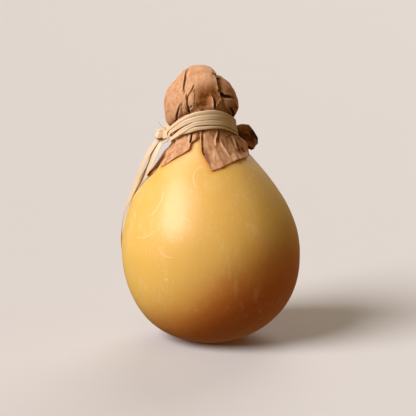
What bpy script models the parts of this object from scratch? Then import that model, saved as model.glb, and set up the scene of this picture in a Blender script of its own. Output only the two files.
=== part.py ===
"""Manteca: a pear-shaped stretched-curd cheese whose head is wrapped in brown paper and tied with raffia.

The pear stands on a small flat spot at the origin, +Z up. The shown side faces -Y, and azimuths count from there
towards +X. Run it with: blender --background --python part.py
"""

import math

import bmesh
import bpy
import numpy as np
from mathutils import Vector

MM = 0.001
TURN = 2 * math.pi

# Pear: a rounded lower half, a cosine shoulder, a short neck and a small ball for a head
BELLY_RADIUS = 49.2 * MM
BELLY_HEIGHT = 49.5 * MM
LOWER_DEPTH = 50.5 * MM  # how deep the lower half would be without its flat spot
LOWER_POWER = 2.19
SHOULDER_HEIGHT = 80.9 * MM  # from the belly up to where the shoulder would close
NECK_RADIUS = 14.0 * MM
HEAD_RADIUS = 16.2 * MM
HEAD_HEIGHT = 131.0 * MM
JOIN_POWER = 7.0  # how softly shoulder, neck and head run into each other
PEAR_TURNS = 48
# Middle line of the pear in mm: height, then how far it stands right of and behind the flat spot
MIDDLE_LINE = (
    (0, 0.0, 0.0),
    (12, 1.5, 0.0),
    (30, 1.8, 0.0),
    (50, 1.2, 0.0),
    (70, 0.4, 0.0),
    (88, -1.0, 0.6),
    (104, -2.8, 1.7),
    (120, -4.2, 2.4),
    (170, -4.3, 2.5),
)
MIDDLE_SOFTNESS = 8.0 * MM  # the line's bends are spread over this much height either way

# Paper: a sheet laid over the head, gathered under the tie and flared below it
PAPER_THICKNESS = 0.45 * MM
PAPER_CLEARANCE = 1.1 * MM  # from the cheese out to the paper's outer face, where the paper lies on it
CAP_RADIUS = 20.4 * MM
CAP_RISE = 21.7 * MM
CAP_HEIGHT = 131.0 * MM
CAP_ROUNDNESS = 22.0  # the higher, the sharper the edges between the flats
CAP_CURL = 5.5 * MM  # height over which the cap curls in above the tie
WAIST_RADIUS = 17.0 * MM
PLEATS = 15
PAPER_COLUMNS = 68
CAP_ROWS, WAIST_ROWS, SKIRT_ROWS = 12, 2, 7

# Flats of the cap: azimuth in degrees, elevation in degrees, distance from its middle in mm
CAP_FLATS = (
    (-85, 42, 18.4),
    (10, 88, 21.4),
    (84, 50, 18.4),
    (-18, 40, 19.4),
    (-50, 12, 19.7),
    (32, 20, 19.6),
    (70, 8, 19.7),
    (118, 30, 19.0),
    (160, 44, 18.8),
    (-150, 38, 19.2),
    (-118, 8, 19.6),
    (150, 6, 19.5),
    (-170, 10, 19.7),
)

# Folds of the cap: its line (azimuth and elevation in degrees), rise left of it and drop right of it in mm, reach in mm
CAP_FOLDS = (
    (((150, 58), (110, 70), (80, 68), (50, 58), (36, 45), (34, 32), (35, 20), (36, 5), (38, -20)), 0.5, 2.6, 4.2),
    (((-59, 65), (-37, 48), (-30, 24)), 0.2, 1.1, 2.0),
    (((-34, 0), (-48, -24)), 0.3, 1.2, 2.2),
    (((-24, 16), (-17, -10)), 0.6, 0.9, 2.2),
    (((170, 55), (-176, 30), (178, 2)), 0.5, 1.4, 3.0),
    (((-120, 50), (-112, 20), (-118, -12)), 0.4, 1.2, 3.0),
)
# Hollow in the cap's shown side: azimuth and elevation in degrees, reach and depth in mm
CAP_HOLLOW = (8, 13, 5.6, 1.6)

# Cut edge of the paper: azimuth in degrees, height and standoff from the shoulder in mm
HEM = (
    (-176, 104, 2.6),
    (-150, 95, 1.6),
    (-128, 104, 2.8),
    (-114, 98, 1.8),
    (-101, 91, 1.1),
    (-87, 101.5, 1.2),
    (-77, 108, 1.3),
    (-62, 107, 2.2),
    (-55, 98.2, 1.0),
    (-36, 104.0, 1.6),
    (-18.6, 108.6, 1.9),
    (-17, 112.0, 1.5),
    (-5, 114.2, 1.3),
    (-1.5, 107.5, 2.6),
    (8.5, 98.2, 1.4),
    (39.5, 102.1, 1.8),
    (73, 103.3, 2.2),
    (88, 106.5, 2.6),
    (100, 104.0, 4.6),
    (109.5, 108.0, 12.4),
    (119, 106.0, 4.8),
    (146, 95, 1.5),
    (168, 103, 3.0),
)

# Tie: the line of its middle round the neck, and its turns
TIE_HEIGHT = 118.3 * MM
TIE_RISE = 5.2 * MM  # higher at the front than at the back
TIE_SADDLE = 1.2 * MM  # higher at front and back than at the sides
TIE_HIGHEST = 15.0  # azimuth of its highest point
TIE_SAG, TIE_SAG_AZIMUTH, TIE_SAG_SPREAD = 2.6 * MM, -74.0, 26.0  # pulled down beside the knot
TIE_TOP, TIE_FOOT = 4.8 * MM, 5.4 * MM
STRAND_THICKNESS = 0.6 * MM
STRAND_STANDOFF = 1.6 * MM  # from the pressed paper out to the middle of a strand
TURN_STEPS = 48
# Turns of the tie: height over its middle line and width in mm, first and last azimuth in degrees
TIE_TURNS = (
    ("tie_turn_top", 3.5, 2.2, 0, 360),
    ("tie_turn_wide", 0.25, 3.7, 0, 360),
    ("tie_turn_lower", -2.7, 1.6, -56, 250),
    ("tie_turn_foot", -4.55, 1.5, 0, 360),
)
TIE_CLOSING = 0.4  # how much closer together the turns run beside the knot

# Knot: its middle (azimuth in degrees, distance from the middle line and height in mm), half height, half thickness
KNOT_SECTIONS = (
    (-56, 21.5, 115.5, 1.3, 0.5),
    (-59, 21.9, 115.4, 2.2, 0.9),
    (-64.5, 22.3, 115.2, 2.4, 1.1),
    (-69.5, 22.5, 115.0, 1.7, 0.9),
    (-72.5, 23.0, 115.0, 2.2, 1.1),
    (-78, 23.4, 114.8, 3.1, 1.5),
    (-81.5, 25.2, 114.2, 3.0, 1.4),
    (-83, 26.1, 113.8, 2.0, 0.6),
)
TAIL_GAP = 0.4 * MM
# Tails: width, heights between which the flat side turns from the shown side onto the cheese, free points
# (x, y, z), then resting points (azimuth in degrees, height), all in mm
OUTER_TAIL = (
    2.7,
    (58, 88),
    (
        (-28.2, -1.7, 110.0),
        (-30.4, -2.5, 107.4),
        (-33.0, -3.0, 103.4),
        (-35.3, -2.9, 98.7),
        (-37.5, -2.1, 93.5),
        (-39.5, -1.2, 88.7),
        (-41.5, -0.2, 84.0),
        (-44.4, 0.8, 75.5),
        (-46.8, 2.0, 66.8),
    ),
    ((-94.5, 58.5), (-98.5, 50.5), (-104.0, 43.5), (-111.0, 37.5)),
)
INNER_TAIL = (
    3.5,
    (78, 98),
    (
        (-26.2, 0.0, 109.8),
        (-29.0, -1.2, 105.3),
        (-31.2, -1.8, 101.4),
        (-33.1, -1.8, 97.7),
        (-34.9, -0.8, 93.7),
    ),
    ((-91.5, 89.0), (-96.0, 83.5), (-102.0, 76.0), (-109.0, 68.0), (-116.5, 60.5), (-124.5, 53.5)),
)
TAIL_STEPS = 30
SHOWN_SIDE = (-0.35, -0.93, 0.1)  # the tails' flat sides face this way at the knot

RIND = ("rind", (0.86, 0.60, 0.22), 0.42)
KRAFT = ("kraft_paper", (0.60, 0.37, 0.21), 0.85)
RAFFIA = ("raffia", (0.78, 0.64, 0.42), 0.55)

STRAND_SECTION = ((0.5, 0.0), (0.3, 0.5), (-0.3, 0.5), (-0.5, 0.0), (-0.3, -0.5), (0.3, -0.5))
KNOT_SECTION = ((1.0, 0.55), (0.6, 1.0), (-0.6, 1.0), (-1.0, 0.55), (-1.0, -0.55), (-0.6, -1.0), (0.6, -1.0), (1.0, -0.55))


def clear_scene():
    for obj in list(bpy.data.objects):
        bpy.data.objects.remove(obj)


def finish_of(settings):
    """The material with this name, colour and roughness, made on first use."""
    name, colour, roughness = settings
    found = bpy.data.materials.get(name)
    if found:
        return found
    material = bpy.data.materials.new(name)
    material.use_nodes = True
    shader = material.node_tree.nodes["Principled BSDF"]
    shader.inputs["Base Color"].default_value = (*colour, 1.0)
    shader.inputs["Roughness"].default_value = roughness
    shader.inputs["Metallic"].default_value = 0.0
    return material


def add_object(name, mesh, settings, collection):
    mesh.materials.clear()
    mesh.materials.append(finish_of(settings))
    obj = bpy.data.objects.new(name, mesh)
    collection.objects.link(obj)
    return obj


def ease(x):
    """A smooth step from 0 to 1 as x goes from 0 to 1."""
    x = np.clip(x, 0.0, 1.0)
    return x * x * (3.0 - 2.0 * x)


def middle_line(z):
    """(x, y) of the pear's own middle line at height z: it wanders a little, and the head leans left and back."""
    table = np.array(MIDDLE_LINE) * MM
    around = np.asarray(z, float)[..., None] + np.linspace(-MIDDLE_SOFTNESS, MIDDLE_SOFTNESS, 9)
    return tuple(np.interp(around, table[:, 0], table[:, k]).mean(axis=-1) for k in (1, 2))


def outward(azimuth):
    """(x, y) of the direction away from the middle line at an azimuth in radians."""
    return np.sin(azimuth), -np.cos(azimuth)


def direction(azimuth, elevation):
    """Unit vectors at these angles in radians, as seen from the cap's middle."""
    dx, dy = outward(azimuth)
    return np.stack([np.cos(elevation) * dx, np.cos(elevation) * dy, np.sin(elevation) + 0 * dx], axis=-1)


def pear_radius(z):
    """Radius of the cheese at height z: belly and shoulder, neck and head, run together softly."""
    z = np.asarray(z, float)
    down = np.clip((BELLY_HEIGHT - z) / LOWER_DEPTH, 0.0, 1.0)
    lower = BELLY_RADIUS * (1.0 - down**LOWER_POWER) ** (1.0 / LOWER_POWER)
    up = np.clip((z - BELLY_HEIGHT) / SHOULDER_HEIGHT, 0.0, 1.0)
    shoulder = BELLY_RADIUS * np.cos(0.5 * math.pi * up)
    body = np.where(z < BELLY_HEIGHT, lower, shoulder)
    neck = NECK_RADIUS * ((z > BELLY_HEIGHT) & (z < HEAD_HEIGHT))
    head = HEAD_RADIUS * np.sqrt(np.clip(1.0 - ((z - HEAD_HEIGHT) / HEAD_RADIUS) ** 2, 0.0, 1.0))
    return (body**JOIN_POWER + neck**JOIN_POWER + head**JOIN_POWER) ** (1.0 / JOIN_POWER)


def pear_normal(points):
    """Directions straight out from the cheese's surface beside these points."""
    x0, y0 = middle_line(points[:, 2])
    dx, dy = points[:, 0] - x0, points[:, 1] - y0
    away = np.hypot(dx, dy)
    slope = (pear_radius(points[:, 2] + MM) - pear_radius(points[:, 2] - MM)) / (2 * MM)
    normal = np.stack([dx / away, dy / away, -slope], axis=1)
    return normal / np.linalg.norm(normal, axis=1)[:, None]


def place(azimuth, radius, z):
    """Points at these azimuths, radii and heights round the middle line."""
    x0, y0 = middle_line(z)
    dx, dy = outward(azimuth)
    return np.stack([x0 + radius * dx, y0 + radius * dy, z + 0 * radius], axis=-1)


def make_cheese(collection):
    """Turns the pear's profile, then shifts each ring onto the middle line."""
    lower = BELLY_HEIGHT - LOWER_DEPTH * np.cos(np.linspace(0.0, 0.5 * math.pi, 13)) ** (2 / LOWER_POWER)
    lower = np.concatenate([[0.0], lower[lower > 1.0 * MM]])
    shoulder = np.linspace(BELLY_HEIGHT, 109 * MM, 12)[1:]
    neck = np.linspace(109 * MM, HEAD_HEIGHT, 6)[1:]
    head = HEAD_HEIGHT + HEAD_RADIUS * np.sin(np.linspace(0.0, 0.5 * math.pi, 6))[1:]
    heights = np.concatenate([lower, shoulder, neck, head])[::-1]
    profile = [(0.0 if i == 0 else float(pear_radius(z)), 0.0, float(z)) for i, z in enumerate(heights)]
    profile.append((0.0, 0.0, 0.0))
    mesh = bpy.data.meshes.new("pear_profile")
    mesh.from_pydata(profile, [(i, i + 1) for i in range(len(profile) - 1)], [])
    turned = add_object("pear_profile", mesh, RIND, collection)
    screw = turned.modifiers.new("Turn", "SCREW")
    screw.steps = screw.render_steps = PEAR_TURNS
    screw.use_merge_vertices = True
    screw.merge_threshold = 0.00001
    graph = bpy.context.evaluated_depsgraph_get()
    solid = bpy.data.meshes.new_from_object(turned.evaluated_get(graph))
    bpy.data.objects.remove(turned)
    for vertex in solid.vertices:
        x0, y0 = middle_line(vertex.co.z)
        vertex.co += Vector((float(x0), float(y0), 0.0))
    solid.shade_smooth()
    return add_object("cheese", solid, RIND, collection)


def tie_height(azimuth):
    """Height of the tie's middle line round the neck."""
    from_top = azimuth - math.radians(TIE_HIGHEST)
    level = TIE_HEIGHT + TIE_RISE * np.cos(from_top) + TIE_SADDLE * np.cos(2 * from_top)
    return level - TIE_SAG * beside_knot(azimuth)


def beside_knot(azimuth):
    """1 beside the knot, falling to 0 away from it."""
    off = (azimuth - math.radians(TIE_SAG_AZIMUTH) + math.pi) % TURN - math.pi
    return np.exp(-((off / math.radians(TIE_SAG_SPREAD)) ** 2))


def fold_shift(toward, line, rise, drop, reach):
    """Shift of the cap's surface beside a fold: it stands proud left of the fold's line and sinks right of it."""
    marks = direction(*np.radians(np.array(line, float)).T)
    nearest = np.full(toward.shape[:-1], np.inf)
    left = np.zeros(toward.shape[:-1], bool)
    for start, end in zip(marks[:-1], marks[1:]):
        run, offset = end - start, toward - start
        share = np.clip((offset @ run) / (run @ run), 0.0, 1.0)
        away = np.linalg.norm(offset - share[..., None] * run, axis=-1) * CAP_RADIUS
        closer = away < nearest
        nearest = np.where(closer, away, nearest)
        left = np.where(closer, np.sum(np.cross(run, offset) * toward, axis=-1) < 0, left)
    return np.exp(-((nearest / (reach * MM)) ** 2)) * np.where(left, rise, -drop) * MM


def cap_reach(azimuth, elevation):
    """How far the cap reaches from its middle in a direction: an ellipsoid pressed into flats, with folds."""
    across, up = np.cos(elevation), np.sin(elevation)
    total = np.sqrt((across / CAP_RADIUS) ** 2 + (up / CAP_RISE) ** 2) ** CAP_ROUNDNESS
    for flat_azimuth, flat_elevation, distance in CAP_FLATS:
        a, e = math.radians(flat_azimuth), math.radians(flat_elevation)
        facing = across * math.cos(e) * np.cos(azimuth - a) + up * math.sin(e)
        total = total + np.clip(facing / (distance * MM), 0.0, None) ** CAP_ROUNDNESS
    reach = total ** (-1.0 / CAP_ROUNDNESS)
    toward = direction(azimuth + 0 * elevation, elevation + 0 * azimuth)
    for fold in CAP_FOLDS:
        reach = reach + fold_shift(toward, *fold)
    hollow_azimuth, hollow_elevation, hollow_reach, hollow_depth = CAP_HOLLOW
    middle = direction(math.radians(hollow_azimuth), math.radians(hollow_elevation))
    away = np.linalg.norm(toward - middle, axis=-1) * CAP_RADIUS
    reach = reach - hollow_depth * MM * np.exp(-((away / (hollow_reach * MM)) ** 2))
    return np.maximum(reach, HEAD_RADIUS + PAPER_CLEARANCE)


def spaced(lines, count):
    """count points spread evenly along each of several lines[line, step, axis]."""
    steps = np.linalg.norm(np.diff(lines, axis=1), axis=2)
    along = np.concatenate([np.zeros((len(lines), 1)), np.cumsum(steps, axis=1)], axis=1)
    found = []
    for line, at in zip(lines, along):
        wanted = np.linspace(0.0, at[-1], count)
        found.append(np.stack([np.interp(wanted, at, line[:, k]) for k in range(line.shape[1])], axis=1))
    return np.array(found)


def cap_profile(azimuth):
    """(radius, height) lines from the cap's top down to where the tie presses it, one for each azimuth."""
    curl_foot = tie_height(azimuth) + TIE_TOP
    curl_top = curl_foot + CAP_CURL
    start = np.arcsin(np.clip((curl_top - CAP_HEIGHT) / CAP_RISE, -0.4, 1.0))
    share = np.linspace(0.0, 1.0, 48)
    elevation = 0.5 * math.pi + (start[:, None] - 0.5 * math.pi) * share
    reach = cap_reach(azimuth[:, None], elevation)
    radius, height = reach * np.cos(elevation), CAP_HEIGHT + reach * np.sin(elevation)
    bend = 0.5 * math.pi * np.linspace(0.0, 1.0, 16)[1:]
    side, foot, top = radius[:, -1:], curl_foot[:, None], height[:, -1:]
    curl_radius = WAIST_RADIUS + (side - WAIST_RADIUS) * np.cos(bend)
    curl_height = foot + (top - foot) * (1.0 - np.sin(bend))
    return np.stack(
        [np.concatenate([radius, curl_radius], axis=1), np.concatenate([height, curl_height], axis=1)], axis=2
    )


def band_foot_radius(azimuth):
    """Distance of the paper from the middle line at the tie's lower edge, where it already meets the shoulder."""
    return np.maximum(WAIST_RADIUS, pear_radius(tie_height(azimuth) - TIE_FOOT) + PAPER_CLEARANCE)


def hem_at(azimuth):
    """(height, standoff) of the cut edge at each azimuth."""
    table = np.array(HEM)
    degrees = np.degrees(azimuth)
    return (
        np.interp(degrees, table[:, 0], table[:, 1], period=360) * MM,
        np.interp(degrees, table[:, 0], table[:, 2], period=360) * MM,
    )


def skirt_profile(azimuth):
    """(radius, height) lines from below the tie out to the cut edge, one for each azimuth."""
    hem_height, standoff = hem_at(azimuth)
    hem_radius, top_radius = pear_radius(hem_height) + standoff, band_foot_radius(azimuth)
    stands_out = ease((standoff - 3 * MM) / (8 * MM))  # a flap that stands out bulges upwards
    top = tie_height(azimuth) - TIE_FOOT - 1.0 * MM * stands_out
    drop = np.maximum(top - hem_height, 0.6 * MM)
    knee_radius = top_radius + (0.12 + 0.75 * stands_out) * (hem_radius - top_radius)
    knee_height = top - 0.38 * drop * (1 - stands_out) + 5.5 * MM * stands_out
    share = np.linspace(0.0, 1.0, 24)[None, :]
    start, middle, end = (1 - share) ** 2, 2 * share * (1 - share), share**2
    radius = start * top_radius[:, None] + middle * knee_radius[:, None] + end * hem_radius[:, None]
    height = start * top[:, None] + middle * knee_height[:, None] + end * (top - drop)[:, None]
    return np.stack([np.maximum(radius, pear_radius(height) + PAPER_CLEARANCE), height], axis=2)


def pleat_wave(azimuth):
    """From -1 in a pleat's valley to 1 on its ridge; the pleats are uneven in width."""
    phase = PLEATS * azimuth + 1.4 * np.sin(2 * azimuth + 0.6) + 1.1 * np.sin(3 * azimuth - 1.0)
    return 1.0 - 2.0 * np.abs(np.sin(0.5 * phase)) ** 0.9


def paper_grid():
    """Points of the paper's outer face, grid[column, row], from the top of the cap to the cut edge."""
    even = np.linspace(-math.pi, math.pi, PAPER_COLUMNS, endpoint=False)
    corners = np.radians([row[0] for row in HEM])
    near = np.abs(even[:, None] - corners[None, :]).min(axis=1) < math.radians(1.8)
    azimuth = np.sort(np.concatenate([even[~near], corners]))

    cap = spaced(cap_profile(azimuth), CAP_ROWS)
    skirt = spaced(skirt_profile(azimuth), SKIRT_ROWS)
    share = np.linspace(0.0, 1.0, WAIST_ROWS + 2)[1:-1][None, :, None]
    waist = cap[:, -1:] * (1 - share) + skirt[:, :1] * share
    profile = np.concatenate([cap, waist, skirt], axis=1)
    radius, height = profile[..., 0], profile[..., 1]

    row = np.arange(radius.shape[1])[None, :]
    waist_row = CAP_ROWS + 0.5 * WAIST_ROWS
    gather = np.where(row < waist_row, ease((row - 5) / (waist_row - 5)), 1.0)
    spread = ease((row - waist_row) / 5.0) * (1 - beside_knot(azimuth))[:, None]
    depth = (0.7 + 0.8 * spread - 0.5 * beside_knot(azimuth)[:, None]) * MM
    radius = radius + pleat_wave(azimuth)[:, None] * gather * depth
    pressed = pear_radius(height) + PAPER_CLEARANCE
    radius = np.where(height < CAP_HEIGHT, np.maximum(radius, pressed), np.maximum(radius, 0.0))
    return place(azimuth[:, None], radius, height)


def make_paper(collection):
    """Builds the gathered sheet as one open grid and thickens it inwards."""
    grid = paper_grid()
    columns, rows = grid.shape[:2]
    mesh = bmesh.new()
    top = mesh.verts.new(grid[:, 0].mean(axis=0))
    verts = [[mesh.verts.new(grid[i, j]) for j in range(1, rows)] for i in range(columns)]
    for i in range(columns):
        here, after = verts[i], verts[(i + 1) % columns]
        mesh.faces.new((top, here[0], after[0]))
        for j in range(rows - 2):
            mesh.faces.new((here[j], here[j + 1], after[j + 1], after[j]))
    data = bpy.data.meshes.new("paper_wrap")
    mesh.to_mesh(data)
    mesh.free()
    paper = add_object("paper_wrap", data, KRAFT, collection)
    thicken = paper.modifiers.new("Thickness", "SOLIDIFY")
    thicken.thickness = PAPER_THICKNESS
    thicken.offset = -1.0
    return paper


def sweep(name, path, facing, section, closed, collection):
    """A solid along path: section[step, corner] gives (across, outwards) offsets, and outwards follows facing."""
    ahead, behind = np.roll(path, -1, axis=0), np.roll(path, 1, axis=0)
    if not closed:
        ahead[-1], behind[0] = path[-1], path[0]
    tangent = ahead - behind
    tangent /= np.linalg.norm(tangent, axis=1)[:, None]
    across = np.cross(tangent, facing)
    across /= np.linalg.norm(across, axis=1)[:, None]
    out = np.cross(across, tangent)
    points = (
        path[:, None] + across[:, None] * section[..., 0:1] + out[:, None] * section[..., 1:2]
    )
    mesh = bmesh.new()
    rings = [[mesh.verts.new(corner) for corner in ring] for ring in points]
    for i in range(len(rings) if closed else len(rings) - 1):
        here, after = rings[i], rings[(i + 1) % len(rings)]
        for k in range(len(here)):
            n = (k + 1) % len(here)
            mesh.faces.new((here[k], here[n], after[n], after[k]))
    if not closed:
        mesh.faces.new(rings[0][::-1])
        mesh.faces.new(rings[-1])
    bmesh.ops.recalc_face_normals(mesh, faces=mesh.faces)
    data = bpy.data.meshes.new(name)
    mesh.to_mesh(data)
    mesh.free()
    data.shade_smooth()
    return add_object(name, data, RAFFIA, collection)


def strand_sections(widths):
    """Lens-shaped sections of a flat strand with these widths along it."""
    flat = np.array(STRAND_SECTION)[None]
    return flat * np.stack([widths, np.full_like(widths, STRAND_THICKNESS)], axis=1)[:, None]


def make_tie(collection):
    """The raffia's turns round the neck: closed rings, and one whose cut end shows beside the knot."""
    for name, rise, width, first, last in TIE_TURNS:
        closed = last - first == 360
        azimuth = np.radians(np.linspace(first, last, TURN_STEPS + (0 if closed else 1), endpoint=not closed))
        height = tie_height(azimuth) + rise * MM * (1 - TIE_CLOSING * beside_knot(azimuth))
        slope = (band_foot_radius(azimuth) - WAIST_RADIUS) / (TIE_TOP + TIE_FOOT)
        below_top = tie_height(azimuth) + TIE_TOP - height
        radius = WAIST_RADIUS + slope * below_top + STRAND_STANDOFF
        facing = direction(azimuth, np.arctan(slope))
        climb = np.gradient(height, azimuth) / radius
        widths = width * MM * (1 - TIE_CLOSING * beside_knot(azimuth)) * np.cos(np.arctan(climb))
        sweep(name, place(azimuth, radius, height), facing, strand_sections(widths), closed, collection)


def make_knot(collection):
    """The knot: the raffia's folded end, a loop against the tie and a flat block beside it."""
    table = np.array(KNOT_SECTIONS)
    azimuth = np.radians(table[:, 0])
    path = place(azimuth, table[:, 1] * MM, table[:, 2] * MM)
    section = np.array(KNOT_SECTION)[None] * (table[:, 3:5] * MM)[:, None]
    return sweep("tie_knot", path, direction(azimuth, 0.0 * azimuth), section, False, collection)


def smooth_line(points, count):
    """count points along a smooth curve through the given ones."""
    padded = np.vstack([2 * points[0] - points[1], points, 2 * points[-1] - points[-2]])
    t = np.linspace(0.0, 1.0, 12, endpoint=False)[:, None]
    dense = []
    for a, b, c, d in zip(padded[:-3], padded[1:-2], padded[2:-1], padded[3:]):
        bend = (2 * a - 5 * b + 4 * c - d) * t**2 + (3 * b - a - 3 * c + d) * t**3
        dense.append(0.5 * (2 * b + (c - a) * t + bend))
    return spaced(np.vstack([*dense, points[-1:]])[None], count)[0]


def make_tail(name, settings, collection):
    """A raffia end from the knot, free at first and then resting on the cheese."""
    width, (turned_on, shown), free, resting = settings
    width *= MM
    rest = []
    for degrees, height in resting:
        z = height * MM
        rest.append(place(math.radians(degrees), pear_radius(z) + TAIL_GAP + 0.5 * STRAND_THICKNESS, z))
    path = smooth_line(np.vstack([np.array(free) * MM, np.array(rest)]), TAIL_STEPS)
    normal = pear_normal(path)
    turned = ease((path[:, 2] / MM - turned_on) / (shown - turned_on))[:, None]
    facing = normal * (1 - turned) + np.array(SHOWN_SIDE) * turned
    across = np.cross(np.gradient(path, axis=0), facing)
    across /= np.linalg.norm(across, axis=1)[:, None]
    stands_up = np.abs(np.sum(across * normal, axis=1))
    needed = TAIL_GAP + 0.5 * STRAND_THICKNESS + 0.5 * width * stands_up
    x0, y0 = middle_line(path[:, 2])
    short = needed - (np.hypot(path[:, 0] - x0, path[:, 1] - y0) - pear_radius(path[:, 2]))
    path = path + normal * np.clip(short, 0.0, None)[:, None]
    widths = np.full(TAIL_STEPS, width)
    widths[[0, -1]] *= 0.7
    return sweep(name, path, facing, strand_sections(widths), False, collection)


def main():
    clear_scene()
    manteca = bpy.data.collections.new("manteca")
    bpy.context.scene.collection.children.link(manteca)
    make_cheese(manteca)
    make_paper(manteca)
    make_tie(manteca)
    make_knot(manteca)
    make_tail("tail_outer", OUTER_TAIL, manteca)
    make_tail("tail_inner", INNER_TAIL, manteca)


main()
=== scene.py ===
"""Dresses the manteca: a waxy pear of cheese, its head wrapped in brown paper under turns of raffia.

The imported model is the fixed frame. Each operator makes one piece, or a few of a kind, in metres in that
frame. The shown side faces -Y, and azimuths count from there towards +X.
"""

import math

import bmesh
import bpy
import numpy as np
from bpy.props import FloatProperty, FloatVectorProperty, IntProperty, PointerProperty
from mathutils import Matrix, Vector, geometry, noise
from mathutils.bvhtree import BVHTree
from mathutils.kdtree import KDTree


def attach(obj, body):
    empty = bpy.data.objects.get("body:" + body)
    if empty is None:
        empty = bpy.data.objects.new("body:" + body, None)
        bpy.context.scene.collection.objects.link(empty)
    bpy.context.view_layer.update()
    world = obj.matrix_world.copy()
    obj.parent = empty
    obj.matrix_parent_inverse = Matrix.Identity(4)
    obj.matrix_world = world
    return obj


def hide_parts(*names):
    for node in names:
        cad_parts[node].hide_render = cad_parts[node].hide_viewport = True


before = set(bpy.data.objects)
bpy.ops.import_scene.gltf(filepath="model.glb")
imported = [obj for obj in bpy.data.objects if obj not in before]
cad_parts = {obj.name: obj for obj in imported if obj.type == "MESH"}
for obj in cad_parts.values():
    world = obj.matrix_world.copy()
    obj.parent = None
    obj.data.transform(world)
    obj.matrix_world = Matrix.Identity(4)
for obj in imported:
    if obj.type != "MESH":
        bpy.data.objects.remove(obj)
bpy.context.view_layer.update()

bl_info = {
    "name": "Manteca cheese",
    "version": (1, 0, 0),
    "blender": (4, 5, 0),
    "location": "View3D > Sidebar > Manteca",
    "description": "Makes a paper-wrapped, raffia-tied pear of stretched-curd cheese",
    "category": "Add Mesh",
}

MM = 0.001
TURN = 2 * math.pi
CURVE_STEPS = 12  # between two given points of a smooth line

# The pear, as in the model's own source
BELLY_RADIUS = 49.2 * MM
BELLY_HEIGHT = 49.5 * MM
LOWER_DEPTH = 50.5 * MM
LOWER_POWER = 2.19
SHOULDER_HEIGHT = 80.9 * MM
NECK_RADIUS = 14.0 * MM
HEAD_RADIUS = 16.2 * MM
HEAD_HEIGHT = 131.0 * MM
JOIN_POWER = 7.0
# Its middle at each height: height, x and y in mm
MIDDLE_LINE = (
    (0, 0.0, 0.0),
    (12, 1.5, 0.0),
    (30, 1.8, 0.0),
    (50, 1.2, 0.0),
    (70, 0.4, 0.0),
    (88, -1.0, 0.6),
    (104, -2.8, 1.7),
    (120, -4.2, 2.4),
    (170, -4.3, 2.5),
)
MIDDLE_SOFTNESS = 8.0 * MM
# Points of its profile below its belly, from there to its head, and over its head
LOWER_POINTS, UPPER_POINTS, HEAD_POINTS = 90, 200, 40

# Moulded lumps of the cheese: size in mm, share of the whole height, seed
CHEESE_LUMPS = ((26, 0.7, 1), (12, 0.3, 2), (5, 0.07, 3))
# Points of its foot that lie closer than this become one
FOOT_WELD = 0.005 * MM

# The paper over the head, as in the model's own source
PAPER_CLEARANCE = 1.1 * MM
CAP_RADIUS = 20.4 * MM
CAP_RISE = 21.7 * MM
CAP_HEIGHT = 131.0 * MM
CAP_ROUNDNESS = 22.0
CAP_CURL = 5.5 * MM
WAIST_RADIUS = 17.0 * MM
# Points along its profile over the cap, round the curl above the tie, and down the skirt
CAP_POINTS, CURL_POINTS, SKIRT_POINTS = 90, 20, 40
# How much closer the sheet's columns lie at the front
CROWDING = 0.32
# Broad pleats: how many, height in mm, how much the knot presses them, how far they run up and down
PLEATS = 15
PLEAT_HEIGHT, KNOT_PRESS = 0.75, 0.45
PLEAT_UP, PLEAT_DOWN = 9 * MM, 7 * MM
# Thin pleats: how many, height in mm and how much it wanders, how far they run up and down
THIN_PLEATS = 41
THIN_HEIGHT, THIN_WANDER = 0.42, 0.3
THIN_UP, THIN_DOWN = 3.2 * MM, 4.5 * MM
# Both kinds fade within this angle of the front, where the creases below take their place
PLAIN_FRONT = 1.45
# Width of its crumpled facets, and the shares of their and the creases' height that are left under the tie
BROAD_FACETS, SMALL_FACETS = 8.5 * MM, 3.4 * MM
FACETS_HELD, CREASES_HELD = 0.15, 0.12
# How far above and below the tie the sheet is free of it
FREE_ABOVE, FREE_BELOW = 3 * MM, 2.5 * MM
# Height at which a crest is fully worn, and how often its surroundings are averaged
CREST_HEIGHT, CREST_BLURS = 0.45 * MM, 7
MOST_SOAK_AND_SHADE = 1.4

# Flats of the cap: azimuth and elevation in degrees, distance from its middle in mm
CAP_FLATS = (
    (-85, 44, 19.2),
    (-110, 42, 19.6),
    (10, 88, 21.2),
    (84, 50, 18.4),
    (-18, 40, 19.4),
    (-50, 12, 19.7),
    (32, 20, 19.6),
    (70, 8, 19.7),
    (118, 30, 19.0),
    (160, 44, 18.8),
    (-150, 38, 19.2),
    (-118, 8, 19.6),
    (150, 6, 19.5),
    (-170, 10, 19.7),
)
# Broad folds of the cap: azimuth and elevation along each, then its rise on the left, its drop on the right
# and its reach in mm
CAP_FOLDS = (
    (
        ((150, 58), (110, 70), (80, 68), (50, 58), (36, 45), (34, 32), (35, 20), (36, 5), (38, -20)),
        0.5,
        2.6,
        4.2,
    ),
    (((-59, 65), (-37, 48), (-30, 24)), 0.2, 1.1, 2.0),
    (((-34, 0), (-48, -24)), 0.3, 1.2, 2.2),
    (((-24, 16), (-17, -10)), 0.6, 0.9, 2.2),
    (((170, 55), (-176, 30), (178, 2)), 0.5, 1.4, 3.0),
    (((-120, 50), (-112, 20), (-118, -12)), 0.4, 1.2, 3.0),
)
# The hollow in the cap's front: azimuth, elevation, reach and depth in mm
CAP_HOLLOW = (6, 14, 6.4, 3.0)
# The cap is smoother round this azimuth, within this spread in degrees, by this share
CALM_AZIMUTH, CALM_SPREAD, CALMNESS = -48, 42, 0.62
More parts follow.
